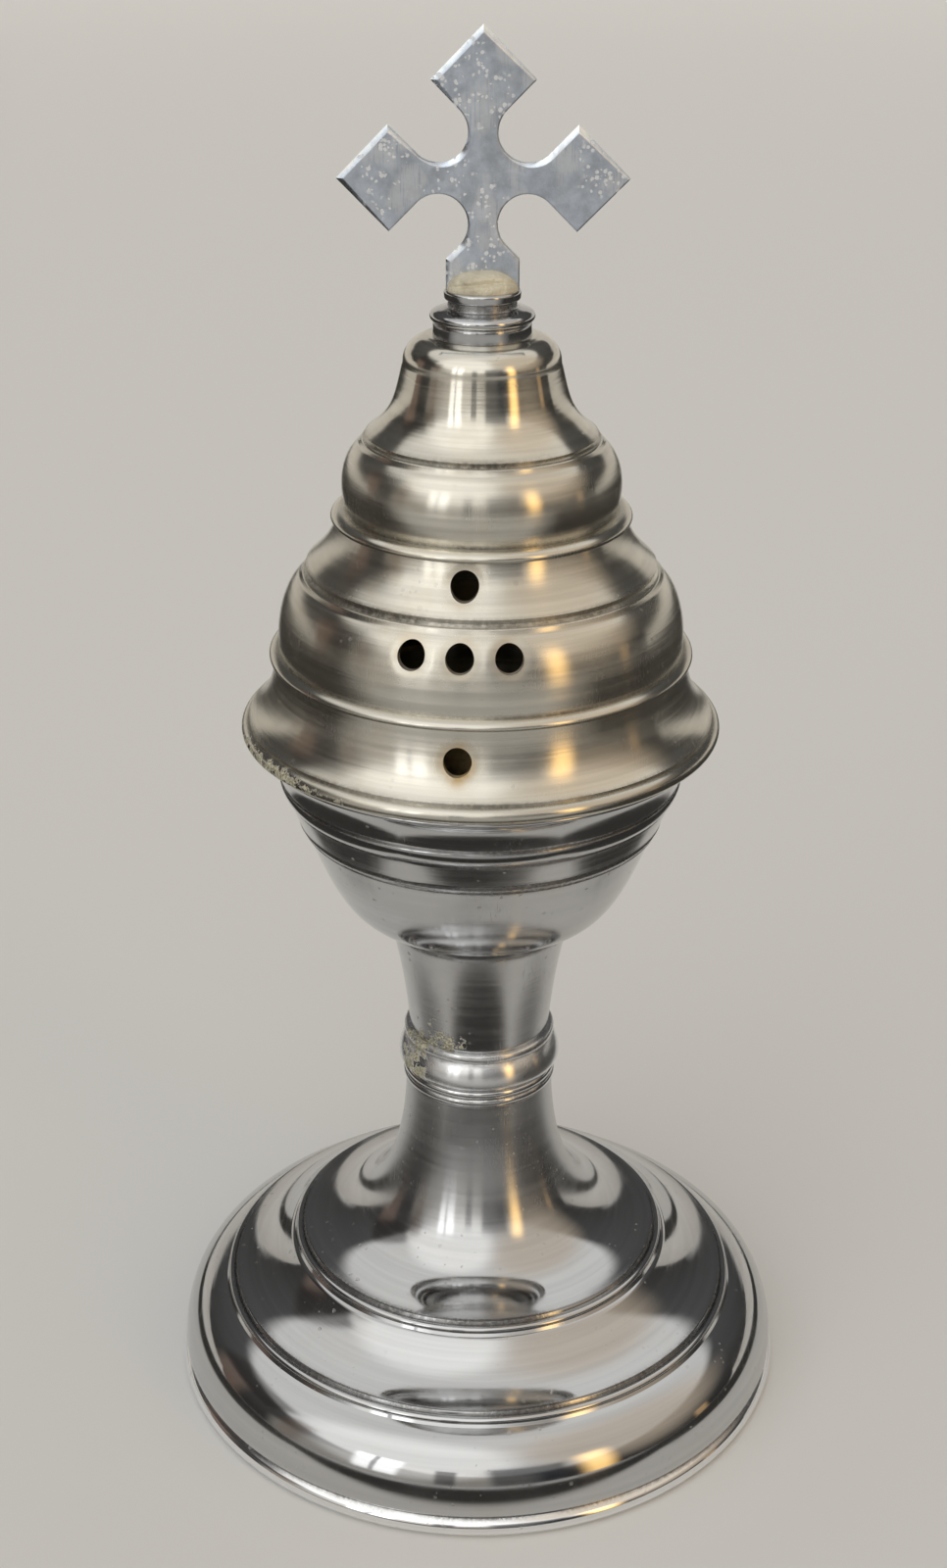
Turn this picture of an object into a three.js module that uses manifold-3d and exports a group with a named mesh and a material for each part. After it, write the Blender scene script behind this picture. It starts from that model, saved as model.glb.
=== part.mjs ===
// Standing hand censer: spun foot, stem and bowl clamped on one tie rod, with a loose charcoal cup
// and a pierced five-tier lid that lifts off. Millimetres, +Z up, origin under the middle of the foot.
import * as THREE from 'three';
import { mergeVertices } from 'three/addons/utils/BufferGeometryUtils.js';
import Module from 'manifold-3d';

const wasm = await Module();
wasm.setup();

// Sheet and fits
const footWall = 1.2;
const bowlWall = 1.0;
const lidWall = 1.0;
const seatGap = 0.3;
const boreGap = 0.3;

// Foot: rolled rim, convex lower tier, hollow middle tier and trumpet, from the ground up
const footRadius = 60;
const rimBead = 2;
const rimFlat = 1.6;
const rimNotch = 0.9;
const lowerTierHeight = 13.6;
const lowerTierRadius = 51;
const middleTierHeight = 9.6;
const middleTierRadius = 37.2;
const trumpetHeight = 36;
const neckRadius = 14;
const ridgeBead = 0.75;
const tierGroove = 1.2;

// Stem stack
const collarHeight = 3.4;
const collarRadius = 14.6;
const knopHeight = 7.8;
const knopRadius = 15.4;
const knopFootRadius = 14.1;
const knopSeatRadius = 14;
const knopBelly = 1.6;
const knopLipHeight = 2;
const knopLipReach = 0.35;
const socketHeight = 25;
const socketFootRadius = 13.3;
const socketTopRadius = 17.2;
const socketBand = 3;
const socketBandStep = 0.4;

// Bowl: its mouth sets the waist, the turned line below it and the rim of the lid
const bowlMouthRadius = 39.5;
const bowlWaistInset = 4.2;
const bowlLineInset = 7.2;
const bowlFloorRadius = 20.3;
const bowlBodyHeight = 18.4;
const bowlLineStep = 0.35;
const bowlWaistHeight = 7;
const bowlBeadWidth = 2.8;
const bowlBeadRise = 0.5;
const bowlCollarHeight = 6.8;
const bowlLipReach = 1.3;

// Lid: bead, then tiers 5 to 1 upwards, a hollow one and a round one in turn
const lidOverhang = 2.15;
const lidRimBead = 1.45;
const lidRimNotch = 0.6;
const lidLedge = 3.2;
const lidFlange = 1.2;
const tierFiveHeight = 11;
const tierFiveRadius = 36.6;
const lipFourReach = 1.25;
const tierFourHeight = 13;
const tierFourRadius = 35.8;
const tierFourTopRadius = 31.8;
const tierThreeHeight = 7.9;
const tierThreeRadius = 25.3;
const lipTwoReach = 1.2;
const tierTwoHeight = 11.6;
const tierTwoRadius = 23.5;
const tierTwoTopRadius = 21.1;
const bellHeight = 16.5;
const bellRadius = 13.5;
const shoulderRadius = 4.2;
const lipHeight = 1.8;
const lidRidgeHeight = 0.9;
const lidRidgeSlope = 0.45;
const lowerGroove = 1.4;
const upperGroove = 0.9;
const lidGrooveDepth = 0.7;

// Smoke holes: one cross of five, repeated round the lid
const holeRadius = 2.38;
const crossPatterns = 3;
const patternTurn = -5.8;
const rowPitchAngle = 13.7;
const rowHoles = 3;
const topHoleRise = 4.4;
const rowHoleRise = 9.7;
const bottomHoleRise = 5.7;

// Locating ring inside the lid
const spigotDepth = 5.2;
const spigotWall = 1;
const spigotLip = 1.8;
const spigotGap = 0.45;

// Charcoal cup
const cupWall = 0.8;
const cupDepth = 12.2;
const cupLip = 2.6;
const cupTaper = 4.4;
const cupRise = 1.2;

// Finial, turned in one piece
const finialNeckRadius = 8.4;
const finialNeckHeight = 2.5;
const finialFlangeRadius = 8.9;
const finialFlangeHeight = 2.1;
const finialNose = 0.85;
const finialWaistRadius = 5.8;
const finialWaistHeight = 1.5;
const finialButtonRadius = 6.5;
const finialButtonHeight = 1.6;

// Cross plate: a square with four round-ended slots, set on its corner on a trimmed foot
const plateSide = 33.94;
const plateThickness = 2;
const plateBevel = 0.3;
const slotWidth = 9.8;
const slotReach = 10.4;
const plateFootWidth = 12.2;
const plateFootDepth = 18;
const solderHeight = 3.4;
const solderReach = 4.2;

// Fasteners
const rodRadius = 3;
const rodNutWidth = 10;
const rodNutHeight = 5;
const rodEnd = 1.5;
const clampWasherHeight = 1.5;
const clampWasherDrop = 27.5;
const bowlWasherRadius = 9;
const studRadius = 2;
const studGrip = 3.4;
const studNutWidth = 7;
const studNutHeight = 3.2;
const studEnd = 1;
const studWasherRadius = 6;
const studWasherHeight = 1;

// Roundness of the solids
const shellSides = 28;
const stemSides = 20;
const smallSides = 16;
const holeSides = 10;
const slotSteps = 8;
const innerSpacing = 4.5;
const innerTurn = 18;
const edgeEase = 0.35;

const DEGREE = Math.PI / 180;

// Radii that follow from the bowl's mouth
const bowlWaistRadius = bowlMouthRadius - bowlWaistInset;
const bowlLineRadius = bowlMouthRadius - bowlLineInset;
const lidRimRadius = bowlMouthRadius + bowlLipReach + lidOverhang;

// Heights that follow from the stack
const rimTop = 2 * rimBead;
const lowerTierFoot = rimTop + rimNotch;
const lowerTierTop = lowerTierFoot + lowerTierHeight - rimNotch;
const middleTierFoot = lowerTierTop + 2 * ridgeBead + tierGroove;
const middleTierTop = lowerTierTop + middleTierHeight;
const trumpetFoot = middleTierTop + 2 * ridgeBead + tierGroove;
const footTop = middleTierTop + trumpetHeight;
const knopFoot = footTop + collarHeight;
const socketFoot = knopFoot + knopHeight;
const bowlFloor = socketFoot + socketHeight;
const bowlLine = bowlFloor + bowlBodyHeight;
const bowlBeadFoot = bowlLine + bowlWaistHeight;
const bowlBeadTop = bowlBeadFoot + bowlBeadWidth;
const bowlRim = bowlBeadTop + bowlCollarHeight + bowlWall;
const lidFoot = bowlRim + seatGap;
const lidBeadTop = lidFoot + 2 * lidRimBead;
const tierFiveFoot = lidBeadTop + lidRimNotch;
const lipFourFoot = tierFiveFoot + tierFiveHeight;
const tierFourFoot = lipFourFoot + lipHeight;
const tierFourTop = tierFourFoot + tierFourHeight;
const tierThreeFoot = tierFourTop + lidRidgeHeight + lowerGroove;
const lipTwoFoot = tierThreeFoot + tierThreeHeight;
const tierTwoFoot = lipTwoFoot + lipHeight;
const tierTwoTop = tierTwoFoot + tierTwoHeight;
const bellFoot = tierTwoTop + lidRidgeHeight + upperGroove;
const lidTop = bellFoot + bellHeight;
const shoulderFoot = lidTop - edgeEase - shoulderRadius;
const finialTop = lidTop + finialNeckHeight + finialFlangeHeight + finialWaistHeight + finialButtonHeight;

// Materials
const plated = { color: 0xc9c8c4, roughness: 0.16, metalness: 1 };
const platedWarm = { color: 0xcdc8bc, roughness: 0.26, metalness: 1 };
const rawBrass = { color: 0xb08d4f, roughness: 0.45, metalness: 1 };
const zincSteel = { color: 0x8f9295, roughness: 0.5, metalness: 1 };
const tinSolder = { color: 0xb9b39f, roughness: 0.75, metalness: 0.6 };

const point = (radius, height) => new THREE.Vector2(radius, height);

// Arc in the profile plane, from one angle to another in degrees
function arc(radius, height, size, from, to, steps) {
  const points = [];
  for (let i = 0; i <= steps; i += 1) {
    const angle = (from + ((to - from) * i) / steps) * DEGREE;
    points.push(point(radius + size * Math.cos(angle), height + size * Math.sin(angle)));
  }
  return points;
}

// Smooth wall between two profile points; each handle is a share of the way across and of the way up
function sweep(start, end, leave, arrive, steps) {
  const span = end.clone().sub(start);
  const handle = (share) => start.clone().add(share.clone().multiply(span));
  return new THREE.CubicBezierCurve(start, handle(leave), handle(arrive), end).getPoints(steps);
}

// Rounded bead that stands out from the line between two profile points
function bead(start, end, reach, steps) {
  const points = [];
  for (let i = 0; i <= steps; i += 1) {
    const angle = (Math.PI * i) / steps;
    const spot = start.clone().lerp(end, (1 - Math.cos(angle)) / 2);
    points.push(spot.add(point(reach * Math.sin(angle), 0)));
  }
  return points;
}

// Inner face of a spun wall: each point moves in by the wall, and those that fold back are left out
function innerFace(outer, wall) {
  const moved = outer.map((spot, i) => {
    const arriving = spot.clone().sub(outer[Math.max(i - 1, 0)]).normalize();
    const leaving = outer[Math.min(i + 1, outer.length - 1)].clone().sub(spot).normalize();
    const along = arriving.clone().add(leaving).normalize();
    const reach = wall / Math.max(arriving.dot(along), leaving.dot(along), 0.7);
    return spot.clone().add(point(-along.y * reach, along.x * reach));
  });
  const nearest = (spot) => Math.min(...outer.slice(1).map((end, i) => {
    const start = outer[i];
    const span = end.clone().sub(start);
    const share = THREE.MathUtils.clamp(spot.clone().sub(start).dot(span) / span.lengthSq(), 0, 1);
    return spot.distanceTo(start.clone().addScaledVector(span, share));
  }));
  return thinned(moved.filter((spot) => nearest(spot) > wall * 0.97 && spot.x > 0).reverse());
}

// A line without the close-set points at which it hardly turns
function thinned(line) {
  const kept = [line[0]];
  line.slice(1).forEach((spot, i) => {
    const last = kept[kept.length - 1];
    const next = line[i + 2] ?? spot;
    const turn = spot.clone().sub(last).angleTo(next.clone().sub(spot));
    if (next === spot || spot.distanceTo(last) > innerSpacing || turn > innerTurn * DEGREE) {
      kept.push(spot);
    }
  });
  return kept;
}

// Radius of a profile line at a height
function radiusAt(line, height) {
  for (let i = 1; i < line.length; i += 1) {
    const low = Math.min(line[i - 1].y, line[i].y);
    const high = Math.max(line[i - 1].y, line[i].y);
    if (height >= low && height <= high && high > low) {
      const share = (height - line[i - 1].y) / (line[i].y - line[i - 1].y);
      return THREE.MathUtils.lerp(line[i - 1].x, line[i].x, share);
    }
  }
  throw new Error(`the profile has no point at height ${height}`);
}

// Solid of revolution about Z from a closed profile
function revolve(profile, sides) {
  let area = 0;
  profile.forEach((spot, i) => {
    const next = profile[(i + 1) % profile.length];
    area += spot.x * next.y - next.x * spot.y;
  });
  const loop = area > 0 ? [...profile] : [...profile].reverse();
  const axisStart = loop.findIndex((spot, i) => spot.x === 0 && loop[(i + loop.length - 1) % loop.length].x === 0);
  const turned = axisStart < 0 ? [...loop, loop[0]] : [...loop.slice(axisStart), ...loop.slice(0, axisStart)];
  const geometry = new THREE.LatheGeometry(turned, sides);
  geometry.rotateX(Math.PI / 2);
  return weld(geometry);
}

// One vertex per corner, without slivers
function weld(geometry) {
  geometry.deleteAttribute('normal');
  geometry.deleteAttribute('uv');
  const merged = mergeVertices(geometry, 1e-4);
  const index = merged.getIndex().array;
  const kept = [];
  for (let i = 0; i < index.length; i += 3) {
    const [a, b, c] = [index[i], index[i + 1], index[i + 2]];
    if (a !== b && b !== c && c !== a) {
      kept.push(a, b, c);
    }
  }
  merged.setIndex(kept);
  return merged;
}

// Ring of square section with both outer edges eased
function easedRing(inner, outer, foot, height, ease) {
  return [
    point(inner, foot),
    point(outer - ease, foot),
    point(outer, foot + ease),
    point(outer, foot + height - ease),
    point(outer - ease, foot + height),
    point(inner, foot + height),
  ];
}

function hexNut(width, height, bore) {
  const shape = new THREE.Shape();
  for (let i = 0; i < 6; i += 1) {
    const angle = i * 60 * DEGREE;
    const corner = width / 2 / Math.cos(30 * DEGREE);
    const move = i === 0 ? 'moveTo' : 'lineTo';
    shape[move](corner * Math.cos(angle), corner * Math.sin(angle));
  }
  shape.closePath();
  const hole = new THREE.Path();
  hole.absarc(0, 0, bore, 0, 2 * Math.PI, true);
  shape.holes.push(hole);
  return weld(new THREE.ExtrudeGeometry(shape, { depth: height, bevelEnabled: false, curveSegments: smallSides / 2 }));
}

function toSolid(geometry) {
  const vertProperties = new Float32Array(geometry.getAttribute('position').array);
  const triVerts = new Uint32Array(geometry.getIndex().array);
  return new wasm.Manifold(new wasm.Mesh({ numProp: 3, vertProperties, triVerts }));
}

function fromSolid(solid) {
  const mesh = solid.getMesh();
  const geometry = new THREE.BufferGeometry();
  geometry.setAttribute('position', new THREE.BufferAttribute(new Float32Array(mesh.vertProperties), 3));
  geometry.setIndex(new THREE.BufferAttribute(new Uint32Array(mesh.triVerts), 1));
  return geometry;
}

// Small bead and groove where a foot tier meets the tier above
function footRidge(radius, foot) {
  const centre = radius - 2 * ridgeBead;
  return [
    point(radius - ridgeBead / 2, foot + ridgeBead / 3),
    ...arc(centre, foot + 1.3 * ridgeBead, ridgeBead, -15, 145, 2),
    point(centre - ridgeBead, foot + 1.9 * ridgeBead),
  ];
}

function footOuter() {
  const beadRadius = footRadius - rimBead;
  const middleFootRadius = lowerTierRadius - 3.3 * ridgeBead;
  const trumpetFootRadius = middleTierRadius - 3.3 * ridgeBead;
  return [
    point(beadRadius + rimFlat / 2, 0),
    ...arc(beadRadius, rimBead, rimBead, -60, 60, 4),
    point(footRadius - rimBead * 0.6, rimTop + rimNotch / 4),
    ...sweep(
      point(footRadius - rimNotch * 0.8, lowerTierFoot),
      point(lowerTierRadius, lowerTierTop),
      point(0.02, 0.43),
      point(0.24, 0.835),
      5,
    ),
    ...footRidge(lowerTierRadius, lowerTierTop),
    ...sweep(
      point(middleFootRadius, middleTierFoot),
      point(middleTierRadius, middleTierTop),
      point(0.4, 0.145),
      point(0.725, 0.48),
      4,
    ),
    ...footRidge(middleTierRadius, middleTierTop),
    ...sweep(
      point(trumpetFootRadius, trumpetFoot),
      point(neckRadius, footTop - edgeEase),
      point(0.59, 0.043),
      point(0.965, 0.282),
      8,
    ),
    point(neckRadius - edgeEase, footTop),
  ];
}

const footProfile = footOuter();
const footCorner = point(neckRadius, footTop);
const footInner = innerFace([...footProfile.slice(7, -2), footCorner, point(rodRadius, footTop)], footWall);

function footShell() {
  const beadRadius = footRadius - rimBead;
  return revolve([
    point(beadRadius - rimFlat / 2, 0),
    ...footProfile,
    point(rodRadius + boreGap, footTop),
    point(rodRadius + boreGap, footTop - footWall),
    ...footInner.filter((spot) => spot.x > rodRadius + boreGap && spot.y > rimTop),
    point(footRadius - rimBead - rimBead / 2, rimTop - edgeEase),
    point(footRadius - 2 * rimBead, rimBead),
  ], shellSides);
}

// Dished washer that bears on the inside of the trumpet
function clampWasher() {
  const top = footTop - clampWasherDrop;
  const reach = radiusAt(footInner, top) - seatGap;
  return revolve([
    point(rodRadius + boreGap, top - clampWasherHeight),
    point(reach - clampWasherHeight, top - clampWasherHeight),
    point(reach, top - edgeEase),
    point(reach, top),
    point(rodRadius + boreGap, top),
  ], smallSides);
}

// Two thin beads on one ring
function neckCollar() {
  const reach = collarRadius - neckRadius;
  const middle = (footTop + knopFoot) / 2;
  return revolve([
    point(rodRadius + boreGap, footTop),
    ...bead(point(neckRadius, footTop), point(neckRadius, middle), reach, 4),
    ...bead(point(neckRadius, middle), point(neckRadius, knopFoot), reach, 4).slice(1),
    point(rodRadius + boreGap, knopFoot),
  ], stemSides);
}

// Knop: widest low down, drawn in above to a thin lip round the upper stem
function knopRing() {
  const bellyTop = knopFoot + knopBelly;
  const lipFoot = socketFoot - knopLipHeight;
  const belly = point(knopRadius, bellyTop);
  return revolve([
    point(rodRadius + boreGap, knopFoot),
    ...sweep(point(knopFootRadius, knopFoot), belly, point(0.5, 0.05), point(1, 0.5), 2),
    ...sweep(belly, point(knopSeatRadius, lipFoot), point(0, 0.35), point(0.55, 0.8), 3).slice(1),
    point(knopSeatRadius + knopLipReach, socketFoot - knopLipHeight / 2),
    point(knopSeatRadius, socketFoot),
    point(rodRadius + boreGap, socketFoot),
  ], stemSides);
}

function stemSocket() {
  const bandFoot = bowlFloor - socketBand;
  const bodyTop = socketTopRadius - socketBandStep;
  return revolve([
    point(rodRadius + boreGap, socketFoot),
    ...sweep(
      point(socketFootRadius, socketFoot),
      point(bodyTop, bandFoot),
      point(0.2, 0.4),
      point(0.54, 0.715),
      6,
    ),
    point(socketTopRadius, bandFoot + edgeEase),
    point(socketTopRadius + edgeEase, bowlFloor),
    point(rodRadius + boreGap, bowlFloor),
  ], stemSides);
}

function bowlOuter() {
  return [
    ...sweep(
      point(bowlFloorRadius, bowlFloor),
      point(bowlLineRadius, bowlLine),
      point(0.51, 0.092),
      point(0.733, 0.598),
      6,
    ),
    point(bowlLineRadius + bowlLineStep, bowlLine + bowlLineStep),
    ...bead(
      point(bowlWaistRadius, bowlBeadFoot),
      point(bowlWaistRadius + 2 * bowlBeadRise, bowlBeadTop),
      bowlBeadRise,
      3,
    ),
    point(bowlMouthRadius - 2.2 * bowlBeadRise, bowlBeadTop + bowlCollarHeight * 0.6),
    point(bowlMouthRadius, bowlRim - bowlWall),
  ];
}

const bowlProfile = bowlOuter();
const bowlInner = innerFace([point(rodRadius, bowlFloor), ...bowlProfile], bowlWall);

function bowl() {
  return revolve([
    point(rodRadius + boreGap, bowlFloor),
    ...bowlProfile,
    point(bowlMouthRadius + bowlLipReach, bowlRim - bowlWall),
    point(bowlMouthRadius + bowlLipReach, bowlRim),
    point(bowlMouthRadius - bowlWall, bowlRim),
    ...bowlInner.filter((spot) => spot.y < bowlRim - bowlWall && spot.x > rodRadius + boreGap),
    point(rodRadius + boreGap, bowlFloor + bowlWall),
  ], shellSides);
}

const bowlWasherFoot = bowlFloor + bowlWall;
const bowlNutFoot = bowlWasherFoot + clampWasherHeight;
const rodTop = bowlNutFoot + rodNutHeight + rodEnd;
const clampNutFoot = footTop - clampWasherDrop - clampWasherHeight - rodNutHeight;

function tieRod() {
  const foot = clampNutFoot - rodEnd;
  return revolve([
    point(0, foot),
    point(rodRadius - edgeEase, foot),
    point(rodRadius, foot + edgeEase),
    point(rodRadius, rodTop - edgeEase),
    point(rodRadius - edgeEase, rodTop),
    point(0, rodTop),
  ], smallSides);
}

function bowlWasher() {
  const inner = rodRadius + boreGap;
  return revolve(easedRing(inner, bowlWasherRadius, bowlWasherFoot, clampWasherHeight, edgeEase), smallSides);
}

// Pan whose lip bears on the tapering wall of the bowl
const cupFloor = rodTop + cupRise;
const cupTop = cupFloor + cupDepth;

function charcoalCup() {
  const lipFoot = cupTop - cupWall;
  const lipRadius = radiusAt(bowlInner, lipFoot) - seatGap;
  const wallTop = lipRadius - cupLip;
  const wallFoot = wallTop - cupTaper;
  return revolve([
    point(0, cupFloor),
    point(wallFoot - 1.5 * cupWall, cupFloor),
    point(wallFoot, cupFloor + 1.5 * cupWall),
    point(wallTop, lipFoot),
    point(lipRadius, lipFoot),
    point(lipRadius + cupWall * 0.4, cupTop),
    point(wallTop - cupWall, cupTop),
    point(wallFoot - cupWall, cupFloor + 1.8 * cupWall),
    point(wallFoot - 2 * cupWall, cupFloor + cupWall),
    point(0, cupFloor + cupWall),
  ], stemSides);
}

// Rounded lip where a hollow tier tucks under the round tier above
function lidLip(root, reach, foot) {
  return bead(point(root, foot), point(root - lidGrooveDepth, foot + lipHeight), reach, 4).slice(1, -1);
}

// Ridge and groove where a round tier meets the hollow tier above
function lidRidge(radius, top, groove) {
  const ridge = radius - lidRidgeSlope;
  return [
    point(ridge, top + lidRidgeHeight),
    point(ridge - lidGrooveDepth, top + lidRidgeHeight + groove * 0.1),
    point(ridge - lidGrooveDepth * 1.2, top + lidRidgeHeight + groove * 0.75),
  ];
}

const tierFiveFootRadius = lidRimRadius - lidRimBead;
const tierThreeFootRadius = tierFourTopRadius - lidRidgeSlope - lidGrooveDepth;
const bellFootRadius = tierTwoTopRadius - lidRidgeSlope - lidGrooveDepth;

function lidOuter() {
  return [
    ...sweep(
      point(tierFiveFootRadius, tierFiveFoot),
      point(tierFiveRadius, lipFourFoot),
      point(0.59, 0.18),
      point(0.92, 0.53),
      4,
    ),
    ...lidLip(tierFiveRadius, lipFourReach, lipFourFoot),
    ...sweep(
      point(tierFourRadius, tierFourFoot),
      point(tierFourTopRadius, tierFourTop),
      point(-0.1, 0.37),
      point(0.225, 0.83),
      4,
    ),
    ...lidRidge(tierFourTopRadius, tierFourTop, lowerGroove),
    ...sweep(
      point(tierThreeFootRadius, tierThreeFoot),
      point(tierThreeRadius, lipTwoFoot),
      point(0.355, 0.23),
      point(0.795, 0.495),
      3,
    ),
    ...lidLip(tierThreeRadius, lipTwoReach, lipTwoFoot),
    ...sweep(
      point(tierTwoRadius, tierTwoFoot),
      point(tierTwoTopRadius, tierTwoTop),
      point(-0.625, 0.4),
      point(-0.25, 0.81),
      4,
    ),
    ...lidRidge(tierTwoTopRadius, tierTwoTop, upperGroove),
    ...sweep(
      point(bellFootRadius, bellFoot),
      point(bellRadius, shoulderFoot),
      point(0.75, 0.3),
      point(0.76, 0.48),
      4,
    ),
    ...arc(bellRadius - shoulderRadius, shoulderFoot, shoulderRadius, 0, 85, 3).slice(1),
    point(bellRadius - shoulderRadius - edgeEase, lidTop),
  ];
}

const lidProfile = lidOuter();
const lidInner = innerFace([...lidProfile, point(studRadius, lidTop)], lidWall);

// Five tiers spun from one sheet, an inturned ledge to sit on the bowl, and pierced crosses
function lidShell() {
  const ledgeRadius = lidRimRadius - lidRimBead - lidLedge;
  const body = revolve([
    point(ledgeRadius, lidFoot),
    point(tierFiveFootRadius, lidFoot),
    ...bead(point(tierFiveFootRadius, lidFoot), point(tierFiveFootRadius, lidBeadTop), lidRimBead, 5).slice(1),
    ...lidProfile,
    point(studRadius + boreGap, lidTop),
    point(studRadius + boreGap, lidTop - lidWall),
    ...lidInner.filter((spot) => spot.x > studRadius + boreGap && spot.y > lidFoot + 2 * lidFlange),
    point(lidRimRadius - 2 * lidRimBead, lidFoot + lidFlange),
    point(ledgeRadius, lidFoot + lidFlange),
  ], shellSides);
  let shell = toSolid(body);
  const pierce = (height, angle) => {
    const cutter = new THREE.CylinderGeometry(holeRadius, holeRadius, lidRimRadius, holeSides);
    cutter.translate(0, -lidRimRadius / 2, 0);
    cutter.translate(0, -lidWall, 0);
    cutter.rotateZ(angle * DEGREE);
    cutter.translate(0, 0, height);
    shell = shell.subtract(toSolid(weld(cutter)));
  };
  for (let pattern = 0; pattern < crossPatterns; pattern += 1) {
    const middle = patternTurn + (360 / crossPatterns) * pattern;
    pierce(tierThreeFoot + topHoleRise, middle);
    for (let hole = 0; hole < rowHoles; hole += 1) {
      pierce(tierFourFoot + rowHoleRise, middle + (hole - (rowHoles - 1) / 2) * rowPitchAngle);
    }
    pierce(tierFiveFoot + bottomHoleRise, middle);
  }
  return fromSolid(shell);
}

// Tapered ring hung on the lid's ledge, which centres the lid in the bowl's mouth
function lidSpigot() {
  const hang = lidFoot + lidFlange;
  const top = hang + spigotWall;
  const foot = bowlRim - spigotDepth;
  const neck = lidRimRadius - lidRimBead - lidLedge - seatGap;
  const mouth = Math.min(neck, bowlMouthRadius - bowlWall - spigotGap);
  const tip = radiusAt(bowlInner, foot) - spigotGap;
  return revolve([
    point(tip - spigotWall, foot),
    point(tip, foot),
    point(mouth, bowlRim),
    point(mouth, hang),
    point(mouth + spigotLip, hang),
    point(mouth + spigotLip, top),
    point(mouth - spigotWall, top),
    point(mouth - spigotWall, bowlRim),
  ], shellSides);
}

function finial() {
  const flangeFoot = lidTop + finialNeckHeight;
  const waistFoot = flangeFoot + finialFlangeHeight;
  const buttonFoot = waistFoot + finialWaistHeight;
  const bore = studRadius + boreGap;
  return revolve([
    point(bore, lidTop),
    point(finialNeckRadius, lidTop),
    point(finialNeckRadius, flangeFoot),
    ...arc(finialFlangeRadius - finialNose, flangeFoot + finialNose, finialNose, -60, 60, 4),
    point(finialWaistRadius, waistFoot),
    point(finialWaistRadius, buttonFoot),
    point(finialButtonRadius - edgeEase, buttonFoot),
    point(finialButtonRadius, buttonFoot + finialButtonHeight / 2),
    point(finialButtonRadius - edgeEase, finialTop),
    point(0, finialTop),
    point(0, lidTop + studGrip + boreGap),
    point(bore, lidTop + studGrip + boreGap),
  ], smallSides);
}

const studWasherFoot = lidTop - lidWall - studWasherHeight;
const studNutFoot = studWasherFoot - studNutHeight;

function finialStud() {
  const foot = studNutFoot - studEnd;
  const top = lidTop + studGrip;
  return revolve([
    point(0, foot),
    point(studRadius - edgeEase, foot),
    point(studRadius, foot + edgeEase),
    point(studRadius, top - edgeEase),
    point(studRadius - edgeEase, top),
    point(0, top),
  ], smallSides / 2);
}

function studWasher() {
  const inner = studRadius + boreGap;
  return revolve(easedRing(inner, studWasherRadius, studWasherFoot, studWasherHeight, edgeEase / 2), smallSides);
}

// Square plate on its corner with a round-ended slot in each side, its lowest arm trimmed to a foot
function crossPlate() {
  const tip = plateSide / Math.SQRT2;
  const slotHalf = slotWidth / 2;
  const slotCentre = slotReach / Math.SQRT2;
  const armHalf = (plateSide / 2 - slotHalf) / Math.SQRT2;
  const footHalf = plateFootWidth / 2;
  const outline = [];
  const place = (x, y, quarter) => {
    outline.push(point(x, y).rotateAround(point(0, 0), quarter * 90 * DEGREE));
  };
  for (let quarter = 0; quarter < 4; quarter += 1) {
    if (quarter === 3) {
      place(tip - 2 * armHalf + footHalf, -footHalf, quarter);
      place(plateFootDepth, -footHalf, quarter);
      place(plateFootDepth, footHalf, quarter);
      place(tip - 2 * armHalf + footHalf, footHalf, quarter);
    } else {
      place(tip - armHalf, -armHalf, quarter);
      place(tip, 0, quarter);
      place(tip - armHalf, armHalf, quarter);
    }
    arc(slotCentre, slotCentre, slotHalf, -45, -225, slotSteps).forEach((spot) => place(spot.x, spot.y, quarter));
  }
  const geometry = new THREE.ExtrudeGeometry(new THREE.Shape(outline), {
    depth: plateThickness - 2 * plateBevel,
    bevelThickness: plateBevel,
    bevelSize: plateBevel,
    bevelOffset: -plateBevel,
    bevelSegments: 1,
  });
  geometry.translate(0, 0, plateBevel - plateThickness / 2);
  geometry.rotateX(Math.PI / 2);
  geometry.translate(0, 0, finialTop + plateFootDepth);
  return weld(geometry);
}

// Mound of solder between the finial's top and one face of the cross
function solderMound(side) {
  const dome = new THREE.SphereGeometry(1, smallSides, smallSides / 2);
  dome.scale(plateFootWidth / 2, solderReach + plateThickness / 2, solderHeight);
  dome.translate(0, 0, finialTop);
  const room = new THREE.BoxGeometry(2 * finialButtonRadius, finialButtonRadius, 2 * solderHeight);
  room.translate(0, side * (plateThickness / 2 + finialButtonRadius / 2), finialTop + solderHeight);
  return fromSolid(toSolid(weld(dome)).intersect(toSolid(weld(room))));
}

const parts = new THREE.Group();

function add(name, geometry, finish) {
  const mesh = new THREE.Mesh(geometry, new THREE.MeshStandardMaterial(finish));
  mesh.name = name;
  parts.add(mesh);
  return mesh;
}

add('foot_shell', footShell(), plated);
add('foot_washer', clampWasher(), zincSteel);
add('foot_nut', hexNut(rodNutWidth, rodNutHeight, rodRadius + boreGap), zincSteel).position.z = clampNutFoot;
add('tie_rod', tieRod(), zincSteel);
add('neck_collar', neckCollar(), plated);
add('knop_ring', knopRing(), plated);
add('stem_socket', stemSocket(), plated);
add('bowl', bowl(), plated);
add('bowl_washer', bowlWasher(), zincSteel);
add('bowl_nut', hexNut(rodNutWidth, rodNutHeight, rodRadius + boreGap), zincSteel).position.z = bowlNutFoot;
add('charcoal_cup', charcoalCup(), rawBrass);
add('lid_shell', lidShell(), platedWarm);
add('lid_spigot', lidSpigot(), platedWarm);
add('finial', finial(), plated);
add('finial_stud', finialStud(), zincSteel);
add('finial_washer', studWasher(), zincSteel);
add('finial_nut', hexNut(studNutWidth, studNutHeight, studRadius + boreGap), zincSteel).position.z = studNutFoot;
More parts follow.
